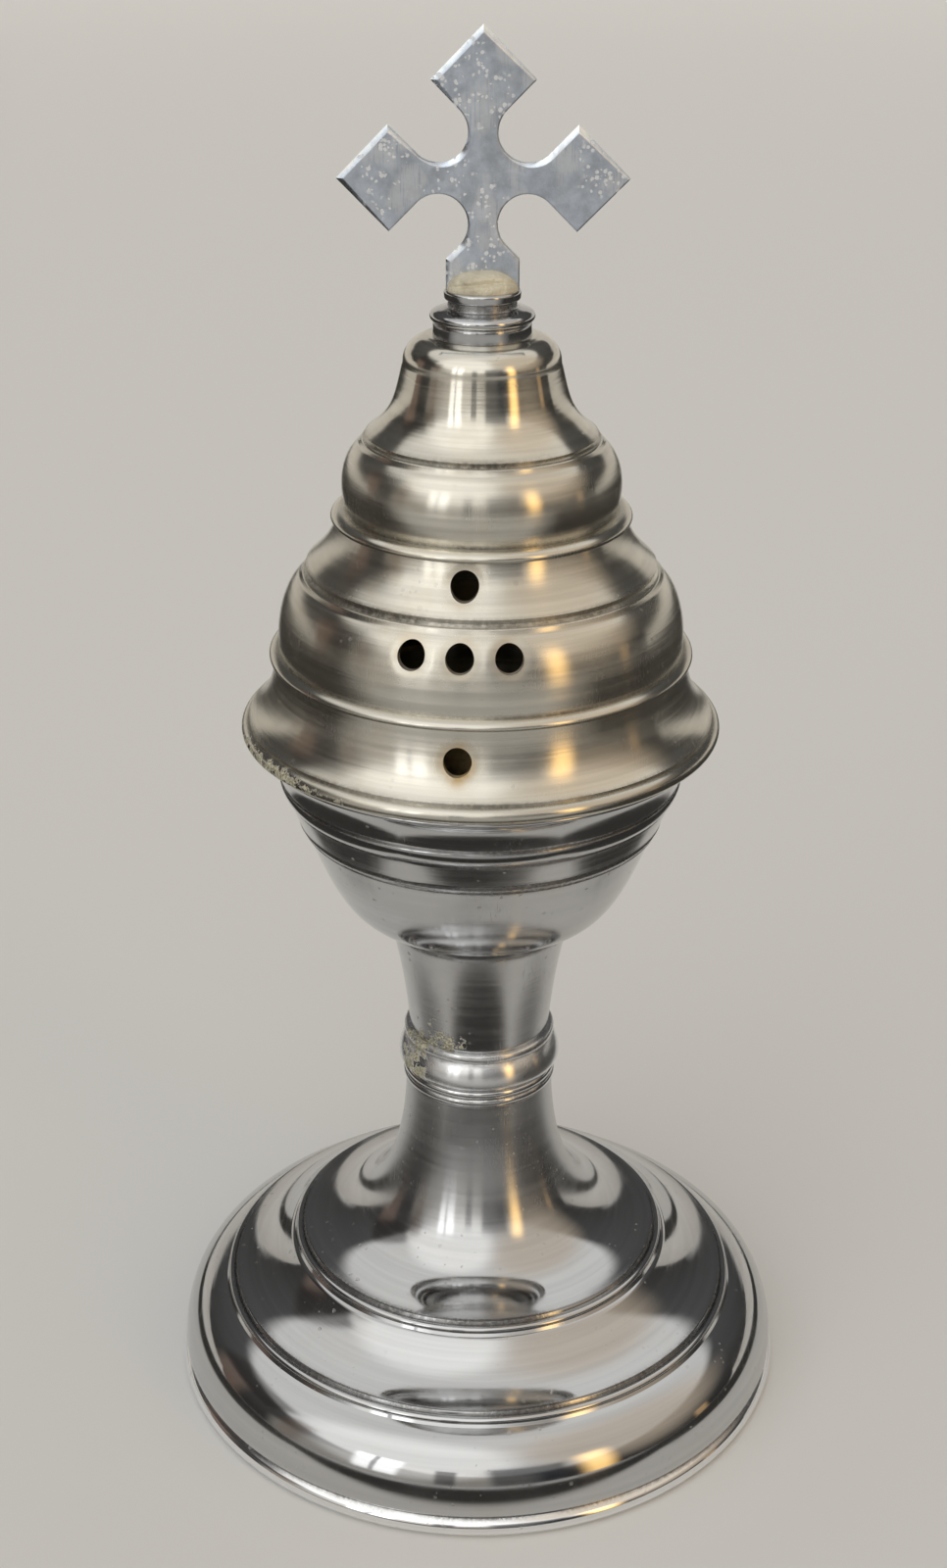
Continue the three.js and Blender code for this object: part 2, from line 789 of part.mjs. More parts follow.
add('cross_plate', crossPlate(), plated);
add('solder_front', solderMound(-1), tinSolder);
add('solder_back', solderMound(1), tinSolder);

export default parts;
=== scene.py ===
"""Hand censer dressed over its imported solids.

Every turned piece is a profile in millimetres carried round the upright axis with numpy, the cross is a cut
plate with a filed edge, and each finish is a procedural plated, brass, zinc or solder material.
"""
import logging
import math
from collections.abc import Callable
from dataclasses import dataclass, field
from enum import Enum

import bmesh
import bpy
import numpy as np
from mathutils import Matrix, Vector


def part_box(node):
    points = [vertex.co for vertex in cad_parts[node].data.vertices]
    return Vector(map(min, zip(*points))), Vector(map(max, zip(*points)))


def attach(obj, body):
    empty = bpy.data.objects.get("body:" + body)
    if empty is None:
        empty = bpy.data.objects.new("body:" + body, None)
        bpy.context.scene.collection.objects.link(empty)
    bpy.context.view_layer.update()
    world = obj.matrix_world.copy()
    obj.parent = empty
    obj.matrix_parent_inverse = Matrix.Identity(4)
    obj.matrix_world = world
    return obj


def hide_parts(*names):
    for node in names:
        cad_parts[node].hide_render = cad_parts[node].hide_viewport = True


logging.basicConfig(level=logging.INFO, format="%(message)s")
LOG = logging.getLogger("censer")

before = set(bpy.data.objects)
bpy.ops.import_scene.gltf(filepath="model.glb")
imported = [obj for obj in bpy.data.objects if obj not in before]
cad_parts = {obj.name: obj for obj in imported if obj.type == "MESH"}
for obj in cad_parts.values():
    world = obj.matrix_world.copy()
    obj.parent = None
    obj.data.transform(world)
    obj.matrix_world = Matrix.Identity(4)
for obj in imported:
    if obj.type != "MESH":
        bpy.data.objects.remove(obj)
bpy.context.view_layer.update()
MM = 0.001
MERGE = 2e-6
SLIVER = 1e-7
FAR = 1000.0
CRISP = 34.0
WHITE = (1.0, 1.0, 1.0)
ORIGIN = (0.0, 0.0, 0.0)

Line = np.ndarray
Point = tuple[float, float]
Colour = tuple[float, float, float]
Socket = bpy.types.NodeSocket
Value = Socket | float
Inputs = dict[str | int, Value | tuple]


class Slot(Enum):
    """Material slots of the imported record."""

    STAND = "plated_stand"
    LID = "plated_lid"
    CROSS = "plated_cross"
    HARDWARE = "zinc_hardware"
    BRASS = "raw_brass"
    SOLDER = "tin_solder"


class Body(Enum):
    """Bodies that the pieces ride on."""

    STAND = "root"
    CUP = "cup"
    LID = "lid"


# Profile lines: arrays of (radius, height) in millimetres


def join(*pieces: Line | Point) -> Line:
    """Pieces of a profile in one line, without repeated points.

    Args:
        pieces: arrays of (radius, height) rows or single (radius, height) points, in order.

    Returns:
        One array of rows.
    """
    line = np.vstack([np.atleast_2d(np.asarray(piece, float)) for piece in pieces])
    step = np.linalg.norm(np.diff(line, axis=0), axis=1)
    return line[np.concatenate([[True], step > 1e-6])]


def arc(centre: Point, size: float, start: float, end: float, steps: int) -> Line:
    """Circular arc: centre plus size times (cos a, sin a), a running evenly between two angles.

    Args:
        centre: radius and height of the arc's centre.
        size: the arc's own radius.
        start: first angle in degrees.
        end: last angle in degrees.
        steps: number of spans.

    Returns:
        Profile points along the arc.
    """
    angle = np.radians(np.linspace(start, end, steps + 1))
    return np.column_stack([centre[0] + size * np.cos(angle), centre[1] + size * np.sin(angle)])


def sweep(start: Point, end: Point, leave: Point, arrive: Point, steps: int) -> Line:
    """Cubic Bezier wall whose handles are shares of the way across and of the way up.

    The point at t is (1-t)^3 A + 3 (1-t)^2 t B + 3 (1-t) t^2 C + t^3 D.

    Args:
        start: first profile point, A.
        end: last profile point, D.
        leave: handle B as shares of the span from A to D.
        arrive: handle C as shares of the same span.
        steps: number of spans.

    Returns:
        Profile points along the wall.
    """
    a, d = np.array(start, float), np.array(end, float)
    b, c = a + np.array(leave) * (d - a), a + np.array(arrive) * (d - a)
    t = np.linspace(0, 1, steps + 1)[:, None]
    return (1 - t) ** 3 * a + 3 * (1 - t) ** 2 * t * b + 3 * (1 - t) * t ** 2 * c + t ** 3 * d


def bead(start: Point, end: Point, reach: float, steps: int) -> Line:
    """Rounded bead: the line from start to end, moved outwards by reach times the sine of the way along.

    Args:
        start: foot of the bead.
        end: top of the bead.
        reach: how far it stands out.
        steps: number of spans.

    Returns:
        Profile points over the bead.
    """
    angle = np.linspace(0, np.pi, steps + 1)[:, None]
    a, d = np.array(start, float), np.array(end, float)
    line = a + (d - a) * (1 - np.cos(angle)) / 2
    return line + np.column_stack([reach * np.sin(angle), np.zeros_like(angle)])


def inner_wall(outer: Line, wall: float) -> Line:
    """Inner face of spun sheet: each point moves along the mitred normal, folded points are dropped.

    A point's shift is wall / cos(half the bend) along the mean normal. A point nearer than nearly one wall to
    any span of the outer line is left out, and so is one where the line turns straight back.

    Args:
        outer: outer profile, foot to top, with no repeated point.
        wall: sheet thickness.

    Returns:
        Inner profile, top to foot.
    """
    span = np.diff(outer, axis=0)
    way = span / np.linalg.norm(span, axis=1)[:, None]
    arriving, leaving = np.vstack([way[:1], way]), np.vstack([way, way[-1:]])
    along = arriving + leaving
    along /= np.linalg.norm(along, axis=1)[:, None]
    reach = wall / np.maximum(np.sum(along * leaving, axis=1), 0.7)
    moved = outer + np.column_stack([-along[:, 1], along[:, 0]]) * reach[:, None]
    share = np.einsum("ijk,jk->ij", moved[:, None] - outer[None, :-1], span) / np.sum(span * span, axis=1)
    foot = outer[None, :-1] + np.clip(share, 0, 1)[..., None] * span[None]
    near = np.linalg.norm(moved[:, None] - foot, axis=2).min(axis=1)
    return moved[(near > 0.97 * wall) & (moved[:, 0] > 0)][::-1]


def refine(line: Line, longest: float) -> Line:
    """The same line with extra points, so that no span is longer than a given length.

    Args:
        line: profile points.
        longest: longest span allowed, in millimetres.

    Returns:
        Profile with evenly split spans.
    """
    span = np.linalg.norm(np.diff(line, axis=0), axis=1)
    parts = np.maximum(np.ceil(span / longest).astype(int), 1)
    start = np.repeat(np.arange(len(parts)), parts)
    within = np.concatenate([np.arange(p) / p for p in parts])
    dense = line[start] + (line[start + 1] - line[start]) * within[:, None]
    return np.vstack([dense, line[-1:]])


# Meshes


def grid_faces(rows: int, count: int, ring: bool = False, loop: bool = False) -> np.ndarray:
    """Four-cornered faces between the neighbours of a grid whose points are numbered row by row.

    Args:
        rows: number of rows.
        count: points in a row.
        ring: whether the last point of a row joins the first.
        loop: whether the last row joins the first.

    Returns:
        Rows of four point numbers.
    """
    last_row = rows if loop else rows - 1
    last_point = count if ring else count - 1
    i, j = np.meshgrid(np.arange(last_row), np.arange(last_point), indexing="ij")
    up, side = (i + 1) % rows, (j + 1) % count
    corners = [i * count + j, i * count + side, up * count + side, up * count + j]
    return np.stack(corners, axis=-1).reshape(-1, 4)


def make_mesh(name: str, points: np.ndarray, faces: np.ndarray | list,
              sharp: float = CRISP) -> bpy.types.Object:
    """Links an object whose mesh holds the given points (millimetres) and faces, merged and facing out.

    Args:
        name: object name.
        points: array of (x, y, z) rows in millimetres.
        faces: rows of point numbers.
        sharp: edges that bend more than this many degrees stay crisp.

    Returns:
        The new object, at the origin.
    """
    mesh = bpy.data.meshes.new(name)
    mesh.from_pydata((points * MM).tolist(), [], [list(map(int, face)) for face in faces])
    made = bpy.data.objects.new(name, mesh)
    bpy.context.scene.collection.objects.link(made)
    clean(made, sharp)
    return made


def clean(obj: bpy.types.Object, sharp: float) -> None:
    """Merges doubles, turns the faces outwards and sets smooth shading with crisp edges past an angle.

    Args:
        obj: mesh object.
        sharp: angle in degrees.
    """
    work = bmesh.new()
    work.from_mesh(obj.data)
    bmesh.ops.remove_doubles(work, verts=work.verts, dist=MERGE)
    bmesh.ops.dissolve_degenerate(work, edges=work.edges, dist=SLIVER)
    bmesh.ops.recalc_face_normals(work, faces=work.faces)
    work.to_mesh(obj.data)
    work.free()
    obj.data.shade_smooth()
    obj.data.set_sharp_from_angle(angle=math.radians(sharp))
    obj.data.update()


def revolve(name: str, profile: Line, sides: int, closed: bool = True,
            shift: Callable[[np.ndarray], np.ndarray] | None = None) -> bpy.types.Object:
    """Surface of revolution: the point at (row, a) is (r sin a, -r cos a, z) of that profile row.

    Args:
        name: object name.
        profile: rows of (radius, height); a closed loop, or a line that starts and ends on the axis.
        sides: steps round the axis.
        closed: whether the last row joins the first.
        shift: optional function of the point array (rows, sides, 3) that returns the moved array.

    Returns:
        The new object.
    """
    angle = np.arange(sides) * 2 * np.pi / sides
    grid = np.stack([
        profile[:, :1] * np.sin(angle),
        -profile[:, :1] * np.cos(angle),
        np.repeat(profile[:, 1:], sides, axis=1),
    ], axis=-1)
    if shift is not None:
        grid = shift(grid)
    return make_mesh(name, grid.reshape(-1, 3), grid_faces(len(profile), sides, ring=True, loop=closed))


def paint(obj: bpy.types.Object, name: str, values: np.ndarray) -> None:
    """Stores one value per point as a float attribute that materials can read.

    Args:
        obj: mesh object.
        name: attribute name.
        values: one number per point.
    """
    layer = obj.data.attributes.new(name, "FLOAT", "POINT")
    layer.data.foreach_set("value", values.astype(np.float32))


def points_of(obj: bpy.types.Object) -> np.ndarray:
    """Points of a mesh object in millimetres, as an array of (x, y, z) rows."""
    flat = np.empty(len(obj.data.vertices) * 3, np.float32)
    obj.data.vertices.foreach_get("co", flat)
    return flat.reshape(-1, 3).astype(float) / MM


def bump(distance: np.ndarray, width: float) -> np.ndarray:
    """Bell curve exp(-(distance / width)^2): 1 at distance 0, gone about two widths away."""
    return np.exp(-((distance / width) ** 2))


def near_rings(points: np.ndarray, rings: Line | None, width: float) -> np.ndarray:
    """How near each point is to a list of rings: a bell curve of the nearest ring in the profile plane.

    Args:
        points: (x, y, z) rows in millimetres.
        rings: (radius, height) rows in millimetres, or none.
        width: fall-off in millimetres.

    Returns:
        One value from 0 to 1 per point.
    """
    if rings is None:
        return np.zeros(len(points))
    flat = np.column_stack([np.hypot(points[:, 0], points[:, 1]), points[:, 2]])
    return bump(np.linalg.norm(flat[:, None] - rings[None], axis=2).min(axis=1), width)


def sector(points: np.ndarray, azimuth: float, width: float) -> np.ndarray:
    """How near each point is to one direction round the axis, as a bell curve of the turn between them.

    Args:
        points: (x, y, z) rows in millimetres.
        azimuth: direction in degrees, 0 towards the camera and growing to the viewer's right.
        width: fall-off in degrees.

    Returns:
        One value from 0 to 1 per point.
    """
    turn = np.degrees(np.arctan2(points[:, 0], -points[:, 1])) - azimuth
    return bump((turn + 180) % 360 - 180, width)


# Shader node groups


class Graph:
    """Short hand for making nodes and links in one tree."""

    def __init__(self, tree: bpy.types.NodeTree) -> None:
        """Keeps the tree."""
        self.tree = tree

    def node(self, kind: str, inputs: Inputs | None = None, **settings: object) -> bpy.types.Node:
        """Adds a node, sets its properties, and links or fills its inputs.

        Args:
            kind: node type.
            inputs: input name or number to a socket or a value.
            settings: node properties.

        Returns:
            The new node.
        """
        made = self.tree.nodes.new(kind)
        for key, value in settings.items():
            setattr(made, key, value)
        for key, value in (inputs or {}).items():
            if isinstance(value, Socket):
                self.tree.links.new(value, made.inputs[key])
            else:
                made.inputs[key].default_value = value
        return made

    def send(self, value: Socket, target: Socket) -> None:
        """Links an output to an input."""
        self.tree.links.new(value, target)

    def group(self, tree: bpy.types.NodeTree, inputs: Inputs) -> bpy.types.bpy_prop_collection:
        """Places a node group. Returns its outputs."""
        return self.node("ShaderNodeGroup", inputs, node_tree=tree).outputs

    def math(self, operation: str, a: Value, b: Value = 0.0, c: Value = 0.0, clamp: bool = False) -> Socket:
        """Math node; a, b and c are sockets or numbers. Returns its output."""
        made = self.node("ShaderNodeMath", {0: a, 1: b, 2: c}, operation=operation, use_clamp=clamp)
        return made.outputs[0]

    def vector(self, operation: str, a: Socket | tuple, b: Socket | tuple = ORIGIN) -> bpy.types.Node:
        """Vector math node of one or two vectors. Returns the node."""
        return self.node("ShaderNodeVectorMath", {0: a, 1: b}, operation=operation)

    def scale(self, vector: Socket | tuple, factor: Value) -> Socket:
        """A vector or colour times a number. Returns its output."""
        return self.node("ShaderNodeVectorMath", {0: vector, "Scale": factor}, operation="SCALE").outputs[0]

    def span(self, value: Value, low: float, high: float, to_low: float = 0.0,
             to_high: float = 1.0) -> Socket:
        """Clamped linear map of a value from one span to another. Returns its output."""
        return self.node("ShaderNodeMapRange", {0: value, 1: low, 2: high, 3: to_low, 4: to_high}).outputs[0]

    def fade(self, value: Socket, zero: float, one: float) -> Socket:
        """Smooth step from 0 at one value to 1 at another. Returns its output."""
        return self.node("ShaderNodeMapRange", {0: value, 1: zero, 2: one, 3: 0.0, 4: 1.0},
                         interpolation_type="SMOOTHSTEP").outputs[0]

    def mix(self, share: Value, a: Socket | tuple, b: Socket | tuple) -> Socket:
        """Colour mix: a where share is 0, b where it is 1. Returns its output."""
        return self.node("ShaderNodeMix", {0: share, 6: a, 7: b}, data_type="RGBA").outputs[2]

    def noise(self, vector: Socket, scale: float, detail: float = 3.0, rough: float = 0.55) -> Socket:
        """Noise value over a vector. Returns its output."""
        inputs = {"Vector": vector, "Scale": scale, "Detail": detail, "Roughness": rough}
        return self.node("ShaderNodeTexNoise", inputs).outputs[0]

    def attribute(self, name: str) -> Socket:
        """Value of one of the piece's own attributes. Returns its output."""
        return self.node("ShaderNodeAttribute", attribute_name=name).outputs["Fac"]


def new_group(name: str, takes: dict[str, float | tuple], gives: dict[str, str]
              ) -> tuple[Graph, dict[str, Socket], dict[str, Socket]]:
    """Starts a shader node group with named inputs and outputs.

    Args:
        name: group name.
        takes: input name to default; a number makes a float, a tuple of three a vector, of four a colour.
        gives: output name to "Float" or "Color".

    Returns:
        The graph, the input sockets by name, and the output node's sockets by name.
    """
    tree = bpy.data.node_groups.new(name, "ShaderNodeTree")
    for label, default in takes.items():
        kind = "Float"
        if isinstance(default, tuple):
            kind = "Vector" if len(default) == 3 else "Color"
        made = tree.interface.new_socket(name=label, in_out="INPUT", socket_type=f"NodeSocket{kind}")
        made.default_value = default
    for label, kind in gives.items():
        tree.interface.new_socket(name=label, in_out="OUTPUT", socket_type=f"NodeSocket{kind}")
    entry = tree.nodes.new("NodeGroupInput")
    leave = tree.nodes.new("NodeGroupOutput")
    given = {socket.name: socket for socket in entry.outputs if socket.name}
    wanted = {socket.name: socket for socket in leave.inputs if socket.name}
    return Graph(tree), given, wanted


def new_material(name: str) -> tuple[bpy.types.Material, Graph, bpy.types.Node]:
    """Starts a material.

    Args:
        name: material name.

    Returns:
        The material, its graph and its Principled shader.
    """
    made = bpy.data.materials.new(name)
    made.use_nodes = True
    return made, Graph(made.node_tree), made.node_tree.nodes["Principled BSDF"]


@dataclass
class Effects:
    """Surface effects shared by the finishes, each a node group built once."""

    turning: bpy.types.NodeTree = field(init=False)
    tarnish: bpy.types.NodeTree = field(init=False)
    wear: bpy.types.NodeTree = field(init=False)
    pits: bpy.types.NodeTree = field(init=False)
    corrosion: bpy.types.NodeTree = field(init=False)

    def __post_init__(self) -> None:
        """Builds the groups."""
        self.turning = self.build_turning()
        self.tarnish = self.build_tarnish()
        self.wear = self.build_wear()
        self.pits = self.build_pits()
        self.corrosion = self.build_corrosion()

    @staticmethod
    def build_turning() -> bpy.types.NodeTree:
        """Fine lines round the axis.

        Noise is read at (x / r, y / r, z) with the radius as its fourth coordinate: nearly constant round the
        axis and quick along the profile, with no seam.

        Returns:
            Group with Height and Streak outputs; its Lines input is how many lines a metre has.
        """
        graph, takes, gives = new_group(
            "turning lines",
            {"Position": ORIGIN, "Lines": 2600.0, "Sweep": 1.6},
            {"Height": "Float", "Streak": "Float"},
        )
        parts = graph.node("ShaderNodeSeparateXYZ", {0: takes["Position"]}).outputs
        flat = graph.node("ShaderNodeCombineXYZ", {0: parts[0], 1: parts[1], 2: 0.0}).outputs[0]
        radius = graph.vector("LENGTH", flat).outputs["Value"]
        swept = graph.scale(graph.vector("NORMALIZE", flat).outputs[0], takes["Sweep"])
        tall = graph.math("MULTIPLY", parts[2], takes["Lines"])
        lift = graph.node("ShaderNodeCombineXYZ", {0: 0.0, 1: 0.0, 2: tall}).outputs[0]
        place = graph.vector("ADD", swept, lift).outputs[0]
        wide = graph.math("MULTIPLY", radius, takes["Lines"])
        fine, coarse = (
            graph.node("ShaderNodeTexNoise", {"Vector": place, "W": wide, "Scale": scale, "Detail": 2.0},
                       noise_dimensions="4D").outputs[0]
            for scale in (1.0, 0.34)
        )
        height = graph.math("ADD", graph.math("MULTIPLY", fine, 0.6), graph.math("MULTIPLY", coarse, 0.8))
        graph.send(height, gives["Height"])
        graph.send(graph.span(coarse, 0.38, 0.66), gives["Streak"])
        return graph.tree

    @staticmethod
    def build_tarnish() -> bpy.types.NodeTree:
        """Yellow and brown film, patchy over the surface and at the holes, and dark dirt in the grooves.

        Returns:
            Group with Colour, Film and Crust outputs; Crust is where dirt has settled.
        """
        graph, takes, gives = new_group(
            "tarnish film",
            {"Position": ORIGIN, "Metal": (0.8, 0.78, 0.74, 1.0), "Straw": (0.62, 0.44, 0.2, 1.0),
             "Dirt": (0.045, 0.03, 0.018, 1.0), "Groove": 0.0, "Halo": 0.0, "Amount": 0.5, "Grime": 0.5},
            {"Colour": "Color", "Film": "Float", "Crust": "Float"},
        )
        cloud = graph.noise(takes["Position"], 55.0, 4.0)
        patch = graph.noise(takes["Position"], 190.0, 5.0, 0.65)
        grain = graph.noise(takes["Position"], 1500.0, 3.0, 0.6)
        thin = graph.math("MULTIPLY", graph.span(cloud, 0.48, 0.78), graph.span(patch, 0.4, 0.7))
        thin = graph.math("MULTIPLY", thin, takes["Amount"])
        ring = graph.math("MULTIPLY", takes["Halo"], graph.span(patch, 0.3, 0.62))
        film = graph.math("ADD", thin, ring, clamp=True)
        settled = graph.math("MULTIPLY", takes["Groove"], graph.span(cloud, 0.34, 0.6))
        settled = graph.math("MULTIPLY", settled, graph.span(grain, 0.3, 0.6, 0.35, 1.0))
        crust = graph.math("MULTIPLY", settled, takes["Grime"], clamp=True)
        tinted = graph.mix(graph.math("MULTIPLY", film, 0.85), takes["Metal"], takes["Straw"])
        graph.send(graph.mix(crust, tinted, takes["Dirt"]), gives["Colour"])
        graph.send(film, gives["Film"])
        graph.send(crust, gives["Crust"])
        return graph.tree

    @staticmethod
    def build_wear() -> bpy.types.NodeTree:
        """Scuffs and smudges: a haze from soft noise, and hair-thin scratches from stretched noise ridges.

        Returns:
            Group with Haze and Scratch outputs.
        """
        graph, takes, gives = new_group(
            "scuffs and haze",
            {"Position": ORIGIN, "Scale": 1.0, "Width": 0.006},
            {"Haze": "Float", "Scratch": "Float"},
        )
        place = graph.scale(takes["Position"], takes["Scale"])
        smear = graph.noise(place, 70.0, 5.0, 0.6)
        graph.send(graph.span(smear, 0.42, 0.72), gives["Haze"])
        lines = None
        for turn, stretch in ((0.5, 14.0), (1.9, 20.0), (2.6, 17.0)):
            lay = {"Vector": place, "Rotation": (turn, turn * 0.6, turn * 1.3), "Scale": (stretch, 1.0, 1.0)}
            turned = graph.node("ShaderNodeMapping", lay).outputs[0]
            bent = graph.noise(turned, 95.0, 1.0, 0.4)
            ridge = graph.math("ABSOLUTE", graph.math("SUBTRACT", bent, 0.5))
            thin = graph.span(graph.math("DIVIDE", ridge, takes["Width"]), 0.0, 1.0, 1.0, 0.0)
            lines = thin if lines is None else graph.math("MAXIMUM", lines, thin)
        rare = graph.span(graph.noise(place, 130.0, 2.0), 0.5, 0.66)
        graph.send(graph.math("MULTIPLY", lines, rare), gives["Scratch"])
        return graph.tree

    @staticmethod
    def build_pits() -> bpy.types.NodeTree:
        """Round specks where the plating has pitted: dots in the cells of a Voronoi pattern.

        A dot's size is a slow noise times the cell's own chance, and a wide noise keeps some places clean.

        Returns:
            Group with a Pit output.
        """
        graph, takes, gives = new_group(
            "plating pits",
            {"Position": ORIGIN, "Scale": 700.0, "Cover": 0.5, "Size": 0.32},
            {"Pit": "Float"},
        )
        cell = graph.node("ShaderNodeTexVoronoi", {"Vector": takes["Position"], "Scale": takes["Scale"]})
        size = graph.span(graph.noise(takes["Position"], 420.0, 2.0), 0.42, 0.72)
        size = graph.math("MINIMUM", graph.math("MULTIPLY", size, takes["Size"]), 0.6)
        chance = graph.node("ShaderNodeSeparateColor", {0: cell.outputs["Color"]}).outputs[0]
        size = graph.math("MULTIPLY", size, graph.span(chance, 0.2, 0.8))
        dot = graph.span(graph.math("SUBTRACT", size, cell.outputs["Distance"]), 0.0, 0.06)
        where = graph.span(graph.noise(takes["Position"], 60.0, 3.0), 0.44, 0.62)
        where = graph.math("MULTIPLY", where, takes["Cover"], clamp=True)
        graph.send(graph.math("MULTIPLY", dot, where), gives["Pit"])
        return graph.tree

    @staticmethod
    def build_corrosion() -> bpy.types.NodeTree:
        """Crumbly cream and grey-green crust where an attribute allows it, as islands cut from noise.

        Returns:
            Group with Colour, Mask and Height outputs.
        """
        graph, takes, gives = new_group(
            "corrosion crust",
            {"Position": ORIGIN, "Where": 0.0},
            {"Colour": "Color", "Mask": "Float", "Height": "Float"},
        )
        island = graph.noise(takes["Position"], 520.0, 3.0, 0.6)
        grain = graph.noise(takes["Position"], 2300.0, 3.0, 0.65)
        rise = graph.math("ADD", graph.math("MULTIPLY", island, 0.75), graph.math("MULTIPLY", grain, 0.25))
        edge = graph.math("MULTIPLY_ADD", takes["Where"], -0.42, 0.8)
        mask = graph.span(graph.math("SUBTRACT", rise, edge), 0.0, 0.05)
        mask = graph.math("MULTIPLY", mask, graph.span(takes["Where"], 0.05, 0.25))
        tint = graph.mix(graph.span(grain, 0.4, 0.62), (0.19, 0.175, 0.12, 1), (0.68, 0.65, 0.50, 1))
        graph.send(tint, gives["Colour"])
        graph.send(mask, gives["Mask"])
        graph.send(graph.math("MULTIPLY", mask, grain), gives["Height"])
        return graph.tree


# Finishes


@dataclass(frozen=True)
class Plated:
    """Nickel plate over brass: bright, with turned lines, film, scuffs and pits, and painted light where the
    pale attribute lifts the colour.
    """

    name: str
    metal: Colour
    straw: Colour = (0.60, 0.42, 0.19)
    dirt: Colour = (0.04, 0.028, 0.018)
    polish: float = 0.07
    haze: float = 0.12
    lines: float = 2600.0
    line_depth: float = 0.05
    film: float = 0.4
    grime: float = 0.7
    pits: float = 0.3
    scratch: float = 0.12
    stretch: float = 0.92
    satin: float = 0.3
    streak: float = 0.1
    mottle: float = 0.0
    scratch_width: float = 0.006
    pit_scale: float = 700.0
    pit_size: float = 0.45
    pit_cover: float = 0.85
    speck: Colour = (0.5, 0.49, 0.46)
    painted_light_gain: float = 0.6
    relief: float = 0.00008

    def build(self, effects: Effects) -> bpy.types.Material:
        """Makes the material.

        Args:
            effects: the shared node groups.

        Returns:
            The new material.
        """
        made, graph, shader = new_material(self.name)
        place = graph.node("ShaderNodeTexCoord").outputs["Object"]
        layers = self.layers(graph, effects, place)
        graph.send(self.tone(graph, place, layers), shader.inputs["Base Color"])
        dull = graph.math("MAXIMUM", layers["crust"], graph.math("MULTIPLY", layers["pit"], 0.7))
        graph.send(graph.math("SUBTRACT", 1.0, dull, clamp=True), shader.inputs["Metallic"])
        graph.send(self.roughness(graph, layers), shader.inputs["Roughness"])
        height = graph.math("MULTIPLY", layers["lines"], self.line_depth)
        for name, gain in (("pit", -0.4), ("crust height", 2.2), ("grime", 0.5)):
            height = graph.math("MULTIPLY_ADD", layers[name], gain, height)
        raised = graph.node("ShaderNodeBump", {"Height": height, "Strength": 1.0, "Distance": self.relief})
        graph.send(raised.outputs[0], shader.inputs["Normal"])
        if self.stretch:
            shader.inputs["Anisotropic"].default_value = self.stretch
            shader.inputs["Anisotropic Rotation"].default_value = 0.25
            tangent = graph.node("ShaderNodeTangent", direction_type="RADIAL", axis="Z")
            graph.send(tangent.outputs[0], shader.inputs["Tangent"])
        return made

    def layers(self, graph: Graph, effects: Effects, place: Socket) -> dict[str, Socket]:
        """Places the effect groups and reads the piece's attributes.

        Args:
            graph: the material's graph.
            effects: the shared node groups.
            place: the point on the piece.

        Returns:
            Masks and colours by name.
        """
        turned = graph.group(effects.turning, {"Position": place, "Lines": self.lines})
        film = graph.group(effects.tarnish, {
            "Position": place, "Metal": (*self.metal, 1), "Straw": (*self.straw, 1), "Dirt": (*self.dirt, 1),
            "Groove": graph.attribute("groove"), "Halo": graph.attribute("halo"),
            "Amount": self.film, "Grime": self.grime,
        })
        wear = graph.group(effects.wear, {"Position": place, "Width": self.scratch_width})
        pits = graph.group(effects.pits, {"Position": place, "Scale": self.pit_scale, "Size": self.pit_size,
                                          "Cover": self.pits})
        crust = graph.group(effects.corrosion, {"Position": place, "Where": graph.attribute("crust")})
        return {
            "lines": turned["Height"], "streak": turned["Streak"], "colour": film["Colour"],
            "film": film["Film"], "grime": film["Crust"], "haze": wear["Haze"], "scratch": wear["Scratch"],
            "pit": pits["Pit"], "crust": crust["Mask"], "crust colour": crust["Colour"],
            "crust height": crust["Height"], "satin": graph.attribute("satin"),
        }

    def tone(self, graph: Graph, place: Socket, layers: dict[str, Socket]) -> Socket:
        """Colour: the film's, shaded by the turned lines and lifted by painted light where the pale attribute
        is set, with clouds, scratches, pits and crust over it.

        Args:
            graph: the material's graph.
            place: the point on the piece.
            layers: masks and colours by name.

        Returns:
            The colour's socket.
        """
        speck = (*self.speck, 1)
        shade = graph.span(layers["streak"], 0.0, 1.0, 1.0 - self.streak, 1.0 + self.streak)
        # painted light: the pale attribute lifts the colour where a piece should look more brightly lit than
        # its plating alone
        lift = graph.math("MULTIPLY_ADD", graph.attribute("pale"), self.painted_light_gain, 1.0)
        tone = graph.scale(layers["colour"], graph.math("MULTIPLY", shade, lift))
        if self.mottle:
            noise = graph.noise(place, 330.0, 5.0, 0.7)
            cloud = graph.span(noise, 0.35, 0.65, 1.0 - self.mottle, 1.0 + self.mottle)
            light = graph.math("MULTIPLY", layers["scratch"], 2.5, clamp=True)
            tone = graph.mix(graph.math("MULTIPLY", light, 0.55), graph.scale(tone, cloud), speck)
        tone = graph.mix(graph.math("MULTIPLY", layers["pit"], self.pit_cover), tone, speck)
        return graph.mix(layers["crust"], tone, layers["crust colour"])

    def roughness(self, graph: Graph, layers: dict[str, Socket]) -> Socket:
        """Roughness: the polish plus each mask times its own gain.

        Args:
            graph: the material's graph.
            layers: masks and colours by name.

        Returns:
            The roughness socket.
        """
        gains = {"haze": self.haze, "streak": self.haze * 0.6, "scratch": self.scratch, "satin": self.satin,
                 "crust": 0.5, "film": 0.16, "grime": 0.55}
        rough = self.polish
        for name, gain in gains.items():
            rough = graph.math("MULTIPLY_ADD", layers[name], gain, rough)
        return graph.math("MULTIPLY_ADD", layers["pit"], 0.35, rough, clamp=True)


